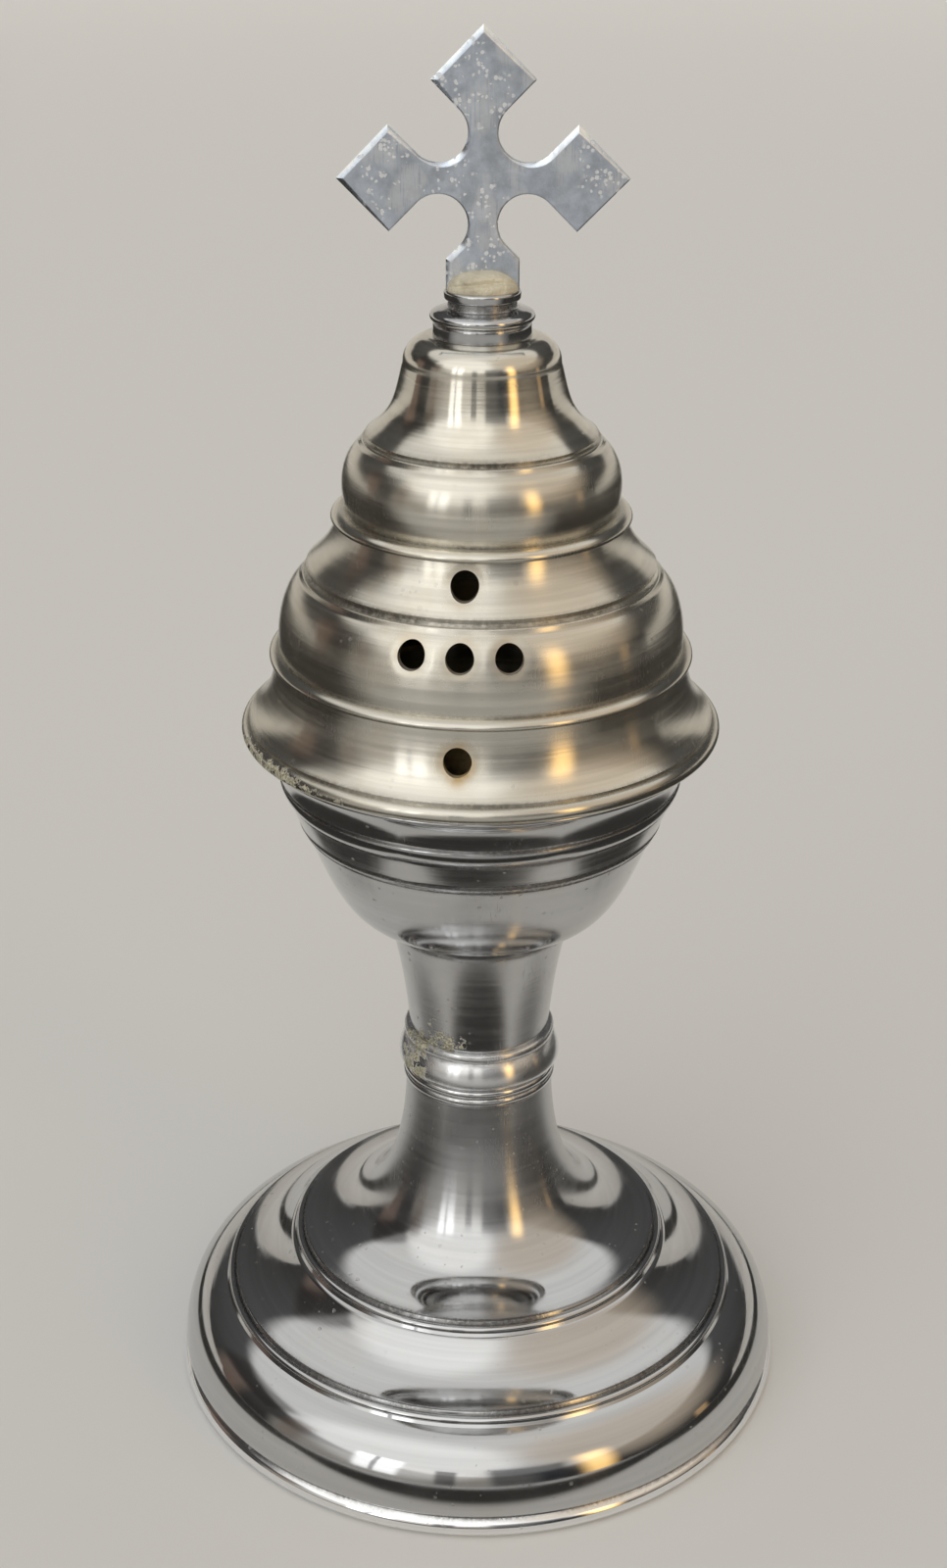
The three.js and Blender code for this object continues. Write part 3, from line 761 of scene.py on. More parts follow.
@dataclass(frozen=True)
class Worked:
    """Plain worked metal such as zinc plate, raw brass or solder, with grain, stains and a dull sheen."""

    name: str
    metal: Colour
    stain: Colour
    metallic: float = 1.0
    rough: float = 0.4
    stains: float = 0.5
    grain: float = 900.0
    relief: float = 0.0001

    def build(self, effects: Effects) -> bpy.types.Material:
        """Makes the material.

        Args:
            effects: the shared node groups.

        Returns:
            The new material.
        """
        made, graph, shader = new_material(self.name)
        place = graph.node("ShaderNodeTexCoord").outputs["Object"]
        wear = graph.group(effects.wear, {"Position": place, "Scale": 2.0})
        cloud = graph.span(graph.noise(place, 160.0, 5.0, 0.6), 0.38, 0.68)
        grain = graph.noise(place, self.grain, 4.0, 0.6)
        colour = graph.mix(graph.math("MULTIPLY", cloud, self.stains), (*self.metal, 1), (*self.stain, 1))
        graph.send(colour, shader.inputs["Base Color"])
        shader.inputs["Metallic"].default_value = self.metallic
        rough = graph.math("MULTIPLY_ADD", wear["Haze"], 0.2, self.rough)
        graph.send(graph.math("MULTIPLY_ADD", cloud, 0.1, rough, clamp=True), shader.inputs["Roughness"])
        height = graph.math("MULTIPLY_ADD", cloud, 0.6, grain)
        raised = graph.node("ShaderNodeBump", {"Height": height, "Strength": 0.7, "Distance": self.relief})
        graph.send(raised.outputs[0], shader.inputs["Normal"])
        return made


KINDS = {
    Slot.STAND: Plated(
        "nickel plate polished", (0.585, 0.59, 0.595), polish=0.05, haze=0.05, film=0.1, stretch=0.9,
        streak=0.05),
    Slot.LID: Plated(
        "nickel plate turned", (0.72, 0.69, 0.61), polish=0.1, haze=0.06, line_depth=0.3, pits=0.15,
        streak=0.09),
    Slot.CROSS: Plated(
        "nickel plate flat", (0.64, 0.70, 0.79), polish=0.3, haze=0.2, line_depth=0.0, film=0.03, streak=0.0,
        stretch=0.0, scratch=0.2, scratch_width=0.09, mottle=0.16, speck=(0.86, 0.89, 0.92), pits=4.0,
        pit_scale=1400.0, pit_size=2.0, pit_cover=0.75),
    Slot.HARDWARE: Worked("zinc on steel", (0.56, 0.57, 0.58), (0.35, 0.33, 0.28), rough=0.34),
    Slot.BRASS: Worked("brass under soot", (0.69, 0.53, 0.27), (0.14, 0.09, 0.05), stains=0.85),
    Slot.SOLDER: Worked(
        "soft solder", (0.76, 0.71, 0.56), (0.46, 0.40, 0.29), metallic=0.3, rough=0.5, stains=0.8,
        relief=0.0005),
}


@dataclass
class Finishes:
    """All finishes by the record's slot."""

    made: dict[Slot, bpy.types.Material] = field(init=False)

    def __post_init__(self) -> None:
        """Builds the effects once and one material for each slot."""
        effects = Effects()
        self.made = {slot: kind.build(effects) for slot, kind in KINDS.items()}

    def dress(self, obj: bpy.types.Object, slot: Slot) -> None:
        """Gives a piece the one finish of a slot.

        Args:
            obj: the piece.
            slot: the slot whose finish it takes.
        """
        obj.data.materials.clear()
        obj.data.materials.append(self.made[slot])


@dataclass
class Piece:
    """What every sub-assembly shares: the finishes, and how a finished piece joins the frame."""

    finishes: Finishes

    def fit(self, obj: bpy.types.Object, node: str, body: Body, slot: Slot, rings: Line | None = None,
            **masks: np.ndarray | float) -> bpy.types.Object:
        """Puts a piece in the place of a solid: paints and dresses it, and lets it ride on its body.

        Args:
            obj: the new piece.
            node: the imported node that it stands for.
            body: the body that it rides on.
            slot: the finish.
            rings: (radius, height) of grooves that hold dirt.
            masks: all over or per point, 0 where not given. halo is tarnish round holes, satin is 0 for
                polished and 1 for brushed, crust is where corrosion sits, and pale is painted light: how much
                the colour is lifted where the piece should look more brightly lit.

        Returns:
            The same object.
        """
        points = points_of(obj)
        paint(obj, "groove", near_rings(points, rings, 0.55))
        for name in ("halo", "satin", "crust", "pale"):
            paint(obj, name, np.broadcast_to(masks.get(name, 0.0), len(points)))
        self.finishes.dress(obj, slot)
        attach(obj, body.value)
        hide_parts(node)
        LOG.info("%s: %d faces in place of %s", obj.name, len(obj.data.polygons), node)
        return obj


@dataclass
class Stand(Piece):
    """Foot, rings, upper stem and bowl, clamped on one rod."""

    rim: float = 60.0
    rim_bead: float = 2.0
    lower_top: Point = (51.0, 17.6)
    middle_top: Point = (37.2, 27.2)
    ridge: float = 0.75
    tier_step: float = 2.475
    tier_rise: float = 2.7
    neck: float = 14.0
    foot_top: float = 63.2
    foot_wall: float = 1.2
    bore: float = 3.3
    collar: float = 14.6
    knop_foot: float = 66.6
    knop: float = 15.4
    knop_seat: float = 14.0
    knop_lip: float = 2.0
    socket_foot: float = 74.4
    socket_foot_radius: float = 13.3
    socket_band: float = 96.4
    socket_band_radius: float = 16.85
    bowl_floor: float = 99.4
    bowl_floor_radius: float = 20.3
    bowl_line: float = 117.8
    bowl_bead: Point = (124.8, 127.6)
    bowl_bead_radius: float = 36.3
    bowl_rim: float = 135.4
    bowl_mouth: float = 39.5
    bowl_wall: float = 1.0
    brushed_from: float = 34.0
    shell_sides: int = 288
    stem_sides: int = 176

    def ridge_line(self, radius: float, foot: float) -> Line:
        """Small bead and the groove above it, at the top of a foot tier.

        Args:
            radius: radius of the tier's top.
            foot: height of the tier's top.

        Returns:
            Profile points, ending at the next tier's foot.
        """
        centre = (radius - 2 * self.ridge, foot + 1.3 * self.ridge)
        return join(
            (radius - 0.6 * self.ridge, foot + 0.2 * self.ridge),
            arc(centre, self.ridge, -25, 150, 9),
            (centre[0] - 0.9 * self.ridge, foot + 2.3 * self.ridge),
            (centre[0] - 1.35 * self.ridge, foot + 2.9 * self.ridge),
            (centre[0] - 1.3 * self.ridge, foot + 3.3 * self.ridge),
        )

    def next_foot(self, top: Point) -> Point:
        """Foot of the tier that stands on a given tier's top."""
        return top[0] - self.tier_step, top[1] + self.tier_rise

    def foot(self) -> None:
        """Foot: rolled rim, convex tier, hollow tier and trumpet, each wall a Bezier sweep of the profile."""
        bead_centre = (self.rim - self.rim_bead, self.rim_bead)
        lower, middle = self.lower_top, self.middle_top
        lower_ridge, middle_ridge = self.ridge_line(*lower), self.ridge_line(*middle)
        trumpet_top = (self.neck, self.foot_top - 0.3)
        outer = join(
            (bead_centre[0] + 0.8, 0),
            arc(bead_centre, self.rim_bead - 0.01, -64, 58, 16),
            (self.rim - 1.25, 4.0),
            (self.rim - 1.05, 4.45),
            sweep((self.rim - 0.72, 4.9), lower, (0.02, 0.43), (0.24, 0.835), 40),
            lower_ridge,
            sweep(self.next_foot(lower), middle, (0.4, 0.145), (0.725, 0.48), 30),
            middle_ridge,
            sweep(self.next_foot(middle), trumpet_top, (0.59, 0.043), (0.965, 0.282), 60),
            (self.neck - 0.3, self.foot_top),
        )
        coarse = join(outer[20:-2:3], (self.neck, self.foot_top), (3, self.foot_top))
        inner = inner_wall(coarse, self.foot_wall)
        inner = inner[(inner[:, 0] > self.bore) & (inner[:, 1] > 5)]
        loop = join(
            (bead_centre[0] - 0.8, 0),
            refine(outer, 0.7),
            (self.bore, self.foot_top),
            (self.bore, self.foot_top - self.foot_wall),
            inner,
            (self.rim - 1.5 * self.rim_bead, 3.6),
            (self.rim - 2 * self.rim_bead, 2.0),
            (self.rim - 1.8 * self.rim_bead, 0.7),
        )
        piece = revolve("foot_spun", loop, self.shell_sides)
        rings = join(lower_ridge[-3:-1], middle_ridge[-3:-1], (self.rim - 1.2, 4.1))
        high = points_of(piece)[:, 2]
        # the pale mask paints light on the rolled rim below 4.3 mm: its colour is lifted there so it looks
        # more brightly lit
        self.fit(piece, "foot_shell", Body.STAND, Slot.STAND, rings,
                 satin=0.45 * np.clip((high - self.brushed_from) / 9, 0, 1),
                 pale=np.clip((4.3 - high) / 0.6, 0, 1))

    def rings(self) -> None:
        """Two-bead collar and the knop above it, as sine beads on straight seats."""
        middle = (self.foot_top + self.knop_foot) / 2
        lip_foot = self.socket_foot - self.knop_lip
        seat = self.knop_seat
        belly = (self.knop, self.knop_foot + 1.6)
        knop = join(
            (self.bore, self.knop_foot),
            (seat - 0.1, self.knop_foot),
            sweep((seat + 0.1, self.knop_foot + 0.1), belly, (0.5, 0.05), (1.0, 0.5), 12),
            sweep(belly, (seat, lip_foot), (0.0, 0.35), (0.55, 0.8), 22),
            (seat - 0.12, lip_foot + 0.12),
            bead((seat - 0.05, lip_foot + 0.22), (seat - 0.1, self.socket_foot), 0.42, 14),
            (self.bore, self.socket_foot),
        )
        turned = revolve("knop_turned", refine(knop, 0.35), self.stem_sides)
        collar = join(
            (self.bore, self.foot_top),
            bead((self.neck, self.foot_top), (self.neck, middle), self.collar - self.neck, 14),
            bead((self.neck, middle), (self.neck, self.knop_foot), self.collar - self.neck, 14),
            (self.bore, self.knop_foot),
        )
        ring = revolve("collar_turned", refine(collar, 0.4), self.stem_sides)
        # pale paints light over the whole collar (half strength) and the whole knop (full): their colour is
        # lifted so they look more brightly lit
        self.fit(ring, "neck_collar", Body.STAND, Slot.STAND,
                 join((self.neck, middle), (self.neck, self.foot_top)), satin=0.1, pale=0.5)
        self.fit(turned, "knop_ring", Body.STAND, Slot.STAND,
                 join((seat, self.knop_foot), (seat, self.socket_foot), (seat, lip_foot)),
                 satin=0.45, pale=1.0, crust=0.85 * sector(points_of(turned), -58, 30))

    def socket(self) -> None:
        """Flaring upper stem with a stepped band at its top."""
        foot, band = self.socket_foot_radius, self.socket_band_radius
        flare_top = (band - 0.05, self.socket_band - 0.15)
        line = join(
            (self.bore, self.socket_foot),
            (foot - 0.2, self.socket_foot),
            sweep((foot, self.socket_foot + 0.2), flare_top, (0.2, 0.4), (0.54, 0.715), 40),
            (band, self.socket_band),
            arc((band + 0.15, self.socket_band + 0.3), 0.22, -100, 0, 5),
            (band + 0.55, self.socket_band + 1.6),
            (band + 0.65, self.bowl_floor - 0.2),
            (band + 0.5, self.bowl_floor),
            (self.bore, self.bowl_floor),
        )
        piece = revolve("stem_turned", refine(line, 0.7), self.stem_sides)
        points = points_of(piece)
        low = bump(points[:, 2] - self.socket_foot, 8)
        self.fit(piece, "stem_socket", Body.STAND, Slot.STAND,
                 join((foot, self.socket_foot), (band, self.socket_band)),
                 satin=0.15, crust=0.85 * sector(points, -34, 40) * low)

    def bowl(self) -> None:
        """Spun bowl: Bezier body, fine turned line, waist bead, flared collar and a turned-out lip."""
        foot, top = self.bowl_bead
        line, waist, mouth = self.bowl_line, self.bowl_bead_radius, self.bowl_mouth
        lip = self.bowl_rim - 1.0
        outer = join(
            sweep((self.bowl_floor_radius, self.bowl_floor), (32.3, line), (0.51, 0.092), (0.733, 0.598), 40),
            (32.72, line + 0.25),
            (32.8, line + 0.55),
            (33.35, line + 1.45),
            (33.35, line + 1.75),
            (35.15, foot - 0.35),
            (35.2, foot),
            bead((35.35, foot), (waist, top), 0.5, 12),
            (waist, top + 0.25),
            sweep((waist + 0.15, top + 0.4), (mouth - 0.2, lip - 0.3), (0.25, 0.5), (0.62, 0.86), 16),
            (mouth, lip),
        )
        inner = inner_wall(join((3, self.bowl_floor), outer[::2], outer[-1:]), self.bowl_wall)
        inner = inner[(inner[:, 0] > self.bore) & (inner[:, 1] < lip)]
        loop = join(
            (self.bore, self.bowl_floor),
            refine(outer, 0.6),
            (mouth + 0.8, lip),
            arc((mouth + 0.78, self.bowl_rim - 0.5), 0.49, -88, 88, 10),
            (mouth - 0.6, self.bowl_rim),
            (mouth - 1.0, self.bowl_rim - 0.3),
            inner,
            (self.bore, self.bowl_floor + self.bowl_wall),
        )
        rings = join((32.75, line + 0.4), (33.35, line + 1.6), (35.15, foot - 0.1), (waist, top + 0.2),
                     (mouth, lip), (self.bowl_floor_radius, self.bowl_floor))
        piece = revolve("bowl_spun", loop, self.shell_sides)
        self.fit(piece, "bowl", Body.STAND, Slot.STAND, rings, satin=0.06)

    def build(self) -> None:
        """Builds the stand's pieces."""
        self.foot()
        self.rings()
        self.socket()
        self.bowl()


@dataclass
class Cup(Piece):
    """Loose pan for the charcoal."""

    lip: float = 2.9
    taper: float = 4.4
    wall: float = 0.8
    sides: int = 128

    def build(self) -> None:
        """Pan with a flat floor, a tapering wall and a rim lip, read off the solid's own box."""
        low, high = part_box("charcoal_cup")
        rim, foot, top = high.x / MM, low.z / MM, high.z / MM
        wall_top = rim - self.lip
        wall_foot = wall_top - self.taper
        loop = join(
            (0, foot),
            (wall_foot - 1.6, foot),
            arc((wall_foot - 1.6, foot + 1.6), 1.6, -88, -22, 8),
            (wall_top, top - 1.1),
            arc((wall_top + 0.5, top - 1.2), 0.4, 175, 95, 4),
            (rim - 0.25, top - self.wall),
            arc((rim - 0.4, top - 0.4), 0.39, -70, 88, 8),
            (wall_top - 0.5, top),
            arc((wall_top - 0.3, top - 0.5), 0.5, 100, 160, 4),
            (wall_foot - 0.8, foot + 1.7),
            (wall_foot - 1.7, foot + self.wall),
            (0, foot + self.wall),
        )
        piece = revolve("charcoal_pan", loop, self.sides, closed=False)
        self.fit(piece, "charcoal_cup", Body.CUP, Slot.BRASS)


@dataclass
class Lid(Piece):
    """Pierced five-tier lid with its locating ring and finial."""

    rim: float = 42.95
    bead: float = 1.45
    foot: float = 135.7
    ledge: float = 38.3
    wall: float = 1.0
    five_foot: float = 139.2
    lip_four: Point = (36.6, 150.2)
    four_foot: Point = (35.8, 152.0)
    four_top: Point = (31.8, 165.0)
    three_foot: Point = (30.65, 167.3)
    lip_two: Point = (25.3, 175.2)
    two_foot: Point = (23.5, 177.0)
    two_top: Point = (21.1, 188.6)
    bell_foot: Point = (19.95, 190.4)
    bell: float = 13.5
    shoulder: float = 4.2
    top: float = 206.9
    bore: float = 2.3
    hole: float = 2.38
    turn: float = -5.8
    pitch: float = 13.7
    top_rise: float = 4.4
    row_rise: float = 9.7
    bottom_rise: float = 5.7
    dimple_depth: float = 0.16
    dimple_reach: float = 0.6
    spigot_mouth: float = 135.4
    spigot_lip: float = 1.8
    sides: int = 272
    bar_sides: int = 40

    @staticmethod
    def lip(root: Point, reach: float) -> Line:
        """Turned lip at the top of a tier: a bead that leans in by 0.7 mm over a height of 1.8 mm."""
        return bead(root, (root[0] - 0.7, root[1] + 1.8), reach, 16)[1:-1]

    @staticmethod
    def ridge(top: Point, groove: float) -> Line:
        """Small bead at the top of a tier and the groove behind it.

        Args:
            top: the tier's top.
            groove: height of the groove.

        Returns:
            Profile points, ending near the next tier's foot.
        """
        edge, high = top[0] - 0.45, top[1]
        return join(
            (top[0] - 0.05, high + 0.12),
            arc((edge - 0.32, high + 0.55), 0.37, 5, 100, 6),
            (edge - 0.68, high + 0.9 + groove * 0.12),
            (edge - 0.95, high + 0.9 + groove * 0.4),
            (edge - 0.86, high + 0.9 + groove * 0.75),
        )

    def outer(self) -> tuple[Line, Line]:
        """Outer profile of the five tiers and the rings where dirt settles.

        Returns:
            The profile from the rim's top to the flat top, and the ring list.
        """
        rim = self.rim - self.bead
        flat = self.bell - self.shoulder
        shoulder_foot = self.top - 0.12 - self.shoulder
        four_ridge = self.ridge(self.four_top, 1.4)
        two_ridge = self.ridge(self.two_top, 0.9)
        line = join(
            sweep((rim, self.five_foot), self.lip_four, (0.59, 0.18), (0.92, 0.53), 30),
            self.lip(self.lip_four, 1.25),
            sweep(self.four_foot, self.four_top, (-0.1, 0.37), (0.225, 0.83), 34),
            four_ridge,
            sweep(self.three_foot, self.lip_two, (0.355, 0.23), (0.795, 0.495), 24),
            self.lip(self.lip_two, 1.2),
            sweep(self.two_foot, self.two_top, (-0.625, 0.4), (-0.25, 0.81), 32),
            two_ridge,
            sweep(self.bell_foot, (self.bell, shoulder_foot), (0.75, 0.3), (0.76, 0.48), 36),
            arc((flat, shoulder_foot), self.shoulder, 0, 86, 16),
            (flat - 0.1, self.top - 0.06),
            (flat - 0.3, self.top),
        )
        rings = join(four_ridge[-3:], two_ridge[-3:], (self.four_foot[0] - 0.1, self.four_foot[1]),
                     self.two_foot, (rim, self.five_foot - 0.3), (rim, self.foot))
        return line, rings

    def holes(self) -> list[Point]:
        """Azimuth in degrees and height of every smoke hole: three crosses of five."""
        spots = []
        for pattern in range(3):
            middle = self.turn + 120 * pattern
            spots.append((middle, self.three_foot[1] + self.top_rise))
            spots += [(middle + k * self.pitch, self.four_foot[1] + self.row_rise) for k in (-1, 0, 1)]
            spots.append((middle, self.five_foot + self.bottom_rise))
        return spots

    def from_holes(self, points: np.ndarray) -> np.ndarray:
        """Distance of each point from the edge of the nearest hole, 0 inside it.

        A hole's axis is horizontal and radial, so the distance from it is the hypotenuse of the height
        difference and of the sideways distance. Points behind the upright axis are far away.

        Args:
            points: (..., 3) array in millimetres.

        Returns:
            Distance in millimetres for each point.
        """
        best = np.full(points.shape[:-1], FAR)
        for azimuth, height in self.holes():
            a = math.radians(azimuth)
            along = points[..., 0] * math.sin(a) - points[..., 1] * math.cos(a)
            side = points[..., 0] * math.cos(a) + points[..., 1] * math.sin(a)
            gap = np.hypot(side, points[..., 2] - height)
            best = np.minimum(best, np.where(along > 0, gap, FAR))
        return np.clip(best - self.hole, 0, None)

    def dimple(self, grid: np.ndarray) -> np.ndarray:
        """Draws the sheet in round each hole, as a drill does: a bell curve of the distance from its edge.

        Args:
            grid: (rows, sides, 3) array of points.

        Returns:
            The moved points.
        """
        depth = self.dimple_depth * bump(self.from_holes(grid), self.dimple_reach)
        radius = np.hypot(grid[..., 0], grid[..., 1])
        grid[..., :2] *= (1 - depth / np.maximum(radius, 1))[..., None]
        return grid

    def shell(self) -> None:
        """Five tiers from one sheet: a closed profile loop carried round, then fifteen holes drilled."""
        line, rings = self.outer()
        rim = self.rim - self.bead
        rolled = bead((rim, self.foot), (rim, self.foot + 2 * self.bead), self.bead - 0.01, 22)[1:]
        flat = (self.bell - self.shoulder, self.top)
        inner = inner_wall(np.vstack([line[::2], [flat], [(2, self.top)]]), self.wall)
        inner = inner[(inner[:, 0] > self.bore) & (inner[:, 1] > self.foot + 2.4)]
        loop = join(
            (self.ledge, self.foot),
            (rim, self.foot),
            rolled,
            refine(line, 0.7),
            (self.bore, self.top),
            (self.bore, self.top - self.wall),
            inner,
            (self.rim - 2 * self.bead, self.foot + 1.2),
            (self.ledge, self.foot + 1.2),
        )
        piece = revolve("lid_spun", loop, self.sides, shift=self.dimple)
        self.drill(piece)
        points = points_of(piece)
        high, away = points[:, 2], self.from_holes(points)
        low = np.abs(high - (self.five_foot + self.bottom_rise)) < 5
        self.fit(piece, "lid_shell", Body.LID, Slot.LID, rings,
                 halo=bump(away, 1.1) * np.where(low, 1.0, 0.35),
                 satin=0.25 * np.clip((197 - high) / 8, 0, 1) + 0.25 * bump(away, 2.6),
                 crust=sector(points, -60, 32) * bump(high - self.foot - self.bead, 1.9))

    def drill(self, piece: bpy.types.Object) -> None:
        """Cuts every smoke hole with one Boolean against a set of round bars.

        A bar is a grid of two parameters: the angle round its axis and the way along it.

        Args:
            piece: the lid's shell.
        """
        count = self.bar_sides
        round_by = (np.arange(count) * 2 * np.pi / count)[:, None]
        rim = np.arange(count)
        upward = np.array([0.0, 0.0, 1.0])
        bars, faces = [], []
        for number, (azimuth, height) in enumerate(self.holes()):
            a = math.radians(azimuth)
            outward = np.array([math.sin(a), -math.cos(a), 0.0])
            sideways = np.array([math.cos(a), math.sin(a), 0.0])
            ring = (sideways * np.cos(round_by) + upward * np.sin(round_by)) * self.hole + upward * height
            bars += [outward * reach + ring for reach in (12.0, 48.0)]
            start = number * 2 * count
            faces += (grid_faces(2, count, ring=True) + start).tolist()
            faces += [(start + rim[::-1]).tolist(), (start + count + rim).tolist()]
        cutter = make_mesh("smoke_hole_bars", np.vstack(bars), faces)
        cut = piece.modifiers.new("drill", "BOOLEAN")
        cut.object, cut.operation, cut.solver = cutter, "DIFFERENCE", "EXACT"
        graph = bpy.context.evaluated_depsgraph_get()
        mesh = bpy.data.meshes.new_from_object(piece.evaluated_get(graph))
        piece.modifiers.clear()
        piece.data = mesh
        bpy.data.objects.remove(cutter)
        mesh.shade_smooth()
        mesh.set_sharp_from_angle(angle=math.radians(CRISP))

    def spigot(self) -> None:
        """Tapered locating ring under the lid, with eased edges, from the solid's own box."""
        low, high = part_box("lid_spigot")
        lip, foot, top = high.x / MM, low.z / MM, high.z / MM
        mouth = lip - self.spigot_lip
        tip = mouth - 1.98
        loop = join(
            (tip - 0.9, foot + 0.1), (tip - 0.8, foot), (tip - 0.2, foot), (tip, foot + 0.25),
            (mouth, self.spigot_mouth), (mouth, top - 1.0), (lip, top - 1.0), (lip, top - 0.2),
            (lip - 0.2, top), (mouth - 0.8, top), (mouth - 1.0, top - 0.2), (mouth - 1.0, self.spigot_mouth),
        )
        self.fit(revolve("lid_ring", loop, 192), "lid_spigot", Body.LID, Slot.LID)

    def finial(self) -> None:
        """Turned finial: neck, flange, waist and button."""
        base, top = self.top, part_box("finial")[1].z / MM
        line = join(
            (0, base + 3.7),
            (self.bore, base + 3.7),
            (self.bore, base),
            (8.3, base),
            (8.4, base + 0.1),
            (8.3, base + 2.1),
            (8.1, base + 2.45),
            arc((8.05, base + 3.35), 0.84, -80, 66, 12),
            (7.6, base + 4.4),
            (6.2, base + 4.68),
            arc((6.2, base + 5.05), 0.37, -90, -175, 5),
            (5.8, base + 5.9),
            (6.05, base + 6.1),
            arc((6.05, base + 6.5), 0.4, -90, 0, 5),
            arc((6.05, top - 0.45), 0.44, 0, 88, 6),
            (5.6, top),
            (0, top),
        )
        rings = join((8.1, base + 2.45), (5.8, base + 5.6), (5.9, base + 4.9), (8.4, base))
        piece = revolve("finial_turned", refine(line, 0.4), 128, closed=False)
        self.fit(piece, "finial", Body.LID, Slot.STAND, rings, satin=0.08)

    def build(self) -> None:
        """Builds the lid's turned pieces."""
        self.shell()
        self.spigot()
        self.finial()


@dataclass
class Cross(Piece):
    """Flat cross plate with a filed edge, and the solder that holds it."""

    side: float = 33.94
    slot_width: float = 9.8
    slot_reach: float = 10.4
    foot_width: float = 12.2
    foot_drop: float = 18.0
    thick: float = 2.0
    file_width: float = 0.35
    file_gain: float = 0.55
    file_depth: float = 0.4
    file_sink: float = 0.3
    solder_rise: float = 3.4
    solder_reach: float = 4.2

    def outline(self) -> np.ndarray:
        """Outline of the plate in its own plane, anticlockwise from the right arm.

        A square on its corner; in each side a slot with a round end; the lowest arm ends in a straight foot.

        Returns:
            (x, z) rows from the plate's centre, in millimetres.
        """
        tip = self.side / math.sqrt(2)
        half = self.slot_width / 2
        middle = self.slot_reach / math.sqrt(2)
        arm = (self.side / 2 - half) / math.sqrt(2)
        foot = self.foot_width / 2
        curve = arc((middle, middle), half, -45, -225, 24)
        head = np.array([[tip - arm, -arm], [tip, 0], [tip - arm, arm]])
        base = np.array([[tip - 2 * arm + foot, -foot], [self.foot_drop, -foot],
                         [self.foot_drop, foot], [tip - 2 * arm + foot, foot]])
        rows = []
        for quarter, (c, s) in enumerate([(1, 0), (0, 1), (-1, 0), (0, -1)]):
            part = np.vstack([base if quarter == 3 else head, curve])
            rows.append(part @ np.array([[c, s], [-s, c]]))
        return np.vstack(rows)

    def plate(self, centre: float) -> None:
        """Plate: the outline at fourteen depths, drawn in at the faces by a filed edge, with flat faces.

        A point at depth y is its outline point moved inwards along the mitred normal by the edge's own curve,
        which is a straight chamfer where the edge looks up and left, and a rounded one elsewhere. That
        chamfer also
        gets a painted highlight: a paler colour and less roughness, strongest at the outline and gone at the
        faces.

        Args:
            centre: height of the cross's centre in millimetres.
        """
        flat = self.outline()
        arriving, leaving = flat - np.roll(flat, 1, axis=0), np.roll(flat, -1, axis=0) - flat
        arriving /= np.linalg.norm(arriving, axis=1)[:, None]
        leaving /= np.linalg.norm(leaving, axis=1)[:, None]
        along = arriving + leaving
        along /= np.linalg.norm(along, axis=1)[:, None]
        inward = np.column_stack([-along[:, 1], along[:, 0]])
        inward /= np.maximum(np.sum(along * leaving, axis=1), 0.5)[:, None]
        facing = np.clip((inward[:, 0] - inward[:, 1]) / math.sqrt(2), 0, 1) ** 2
        run = np.linspace(0, 1, 7)[:, None]
        sink = facing * (1 - run) + (1 - facing) * (1 - np.sin(run * np.pi / 2))
        draw = facing * run + (1 - facing) * (1 - np.cos(run * np.pi / 2))
        depth = self.thick / 2 - (self.file_depth + self.file_sink * facing) * sink
        levels = np.concatenate([-depth[::-1], depth])
        draws = np.concatenate([draw[::-1], draw])
        shapes = flat[None] + inward[None] * (draws * (self.file_width + self.file_gain * facing))[..., None]
        grid = np.stack([shapes[..., 0], levels, shapes[..., 1] + centre], -1)
        # painted highlight: the edge that looks up and left is painted paler (pale) and smoother (satin),
        # most at its outer band and gone at the faces, as where it catches the light
        bright = (facing * np.sqrt(np.concatenate([1 - run[::-1], 1 - run]))).reshape(-1)
        rows, count = levels.shape
        caps = [list(range(count)), list(range((rows - 1) * count, rows * count))[::-1]]
        faces = grid_faces(rows, count, ring=True).tolist() + caps
        piece = make_mesh("cross_filed", grid.reshape(-1, 3), faces, sharp=20)
        self.fit(piece, "cross_plate", Body.LID, Slot.CROSS, satin=-0.8 * bright, pale=0.8 * bright)

    def solder(self, base: float, facing: int, node: str, name: str) -> None:
        """Mound of solder: a quarter ellipsoid with slow waves, flat on the plate and on the button.

        The point at (p, q) is (a cos p, reach sin p cos q, rise sin p sin q), swelled by low sine waves and
        dented along one crease.

        Args:
            base: height of the button's top.
            facing: -1 for the front, 1 for the back.
            node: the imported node.
            name: object name.
        """
        p, q = np.meshgrid(np.linspace(0, np.pi, 61), np.linspace(0, np.pi / 2, 33), indexing="ij")
        wave = 1 + 0.05 * np.sin(5 * p + facing) * np.sin(3 * q) - 0.05 * np.abs(np.sin(2.2 * p + 1.5 * q))
        wave -= 0.16 * bump(q - 0.62 - 0.16 * np.sin(2 * p + 0.5), 0.13) * np.sin(p)
        x = (self.foot_width / 2 - 0.15) * np.cos(p)
        y = facing * (self.thick / 2 + self.solder_reach * np.sin(p) ** 0.8 * np.cos(q) * wave)
        z = base + self.solder_rise * np.sin(p) ** 0.9 * np.sin(q) * wave
        rows, count = p.shape
        floor = [row * count for row in range(rows)]
        back = [row * count + count - 1 for row in range(rows)][::-1]
        faces = grid_faces(rows, count).tolist() + [floor, back]
        piece = make_mesh(name, np.stack([x, y, z], -1).reshape(-1, 3), faces, sharp=50)
        self.fit(piece, node, Body.LID, Slot.SOLDER)

    def build(self) -> None:
        """Builds the plate and both mounds."""
        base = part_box("finial")[1].z / MM
        self.plate(base + self.foot_drop)
        self.solder(base, -1, "solder_front", "solder_mound_front")
        self.solder(base, 1, "solder_back", "solder_mound_back")


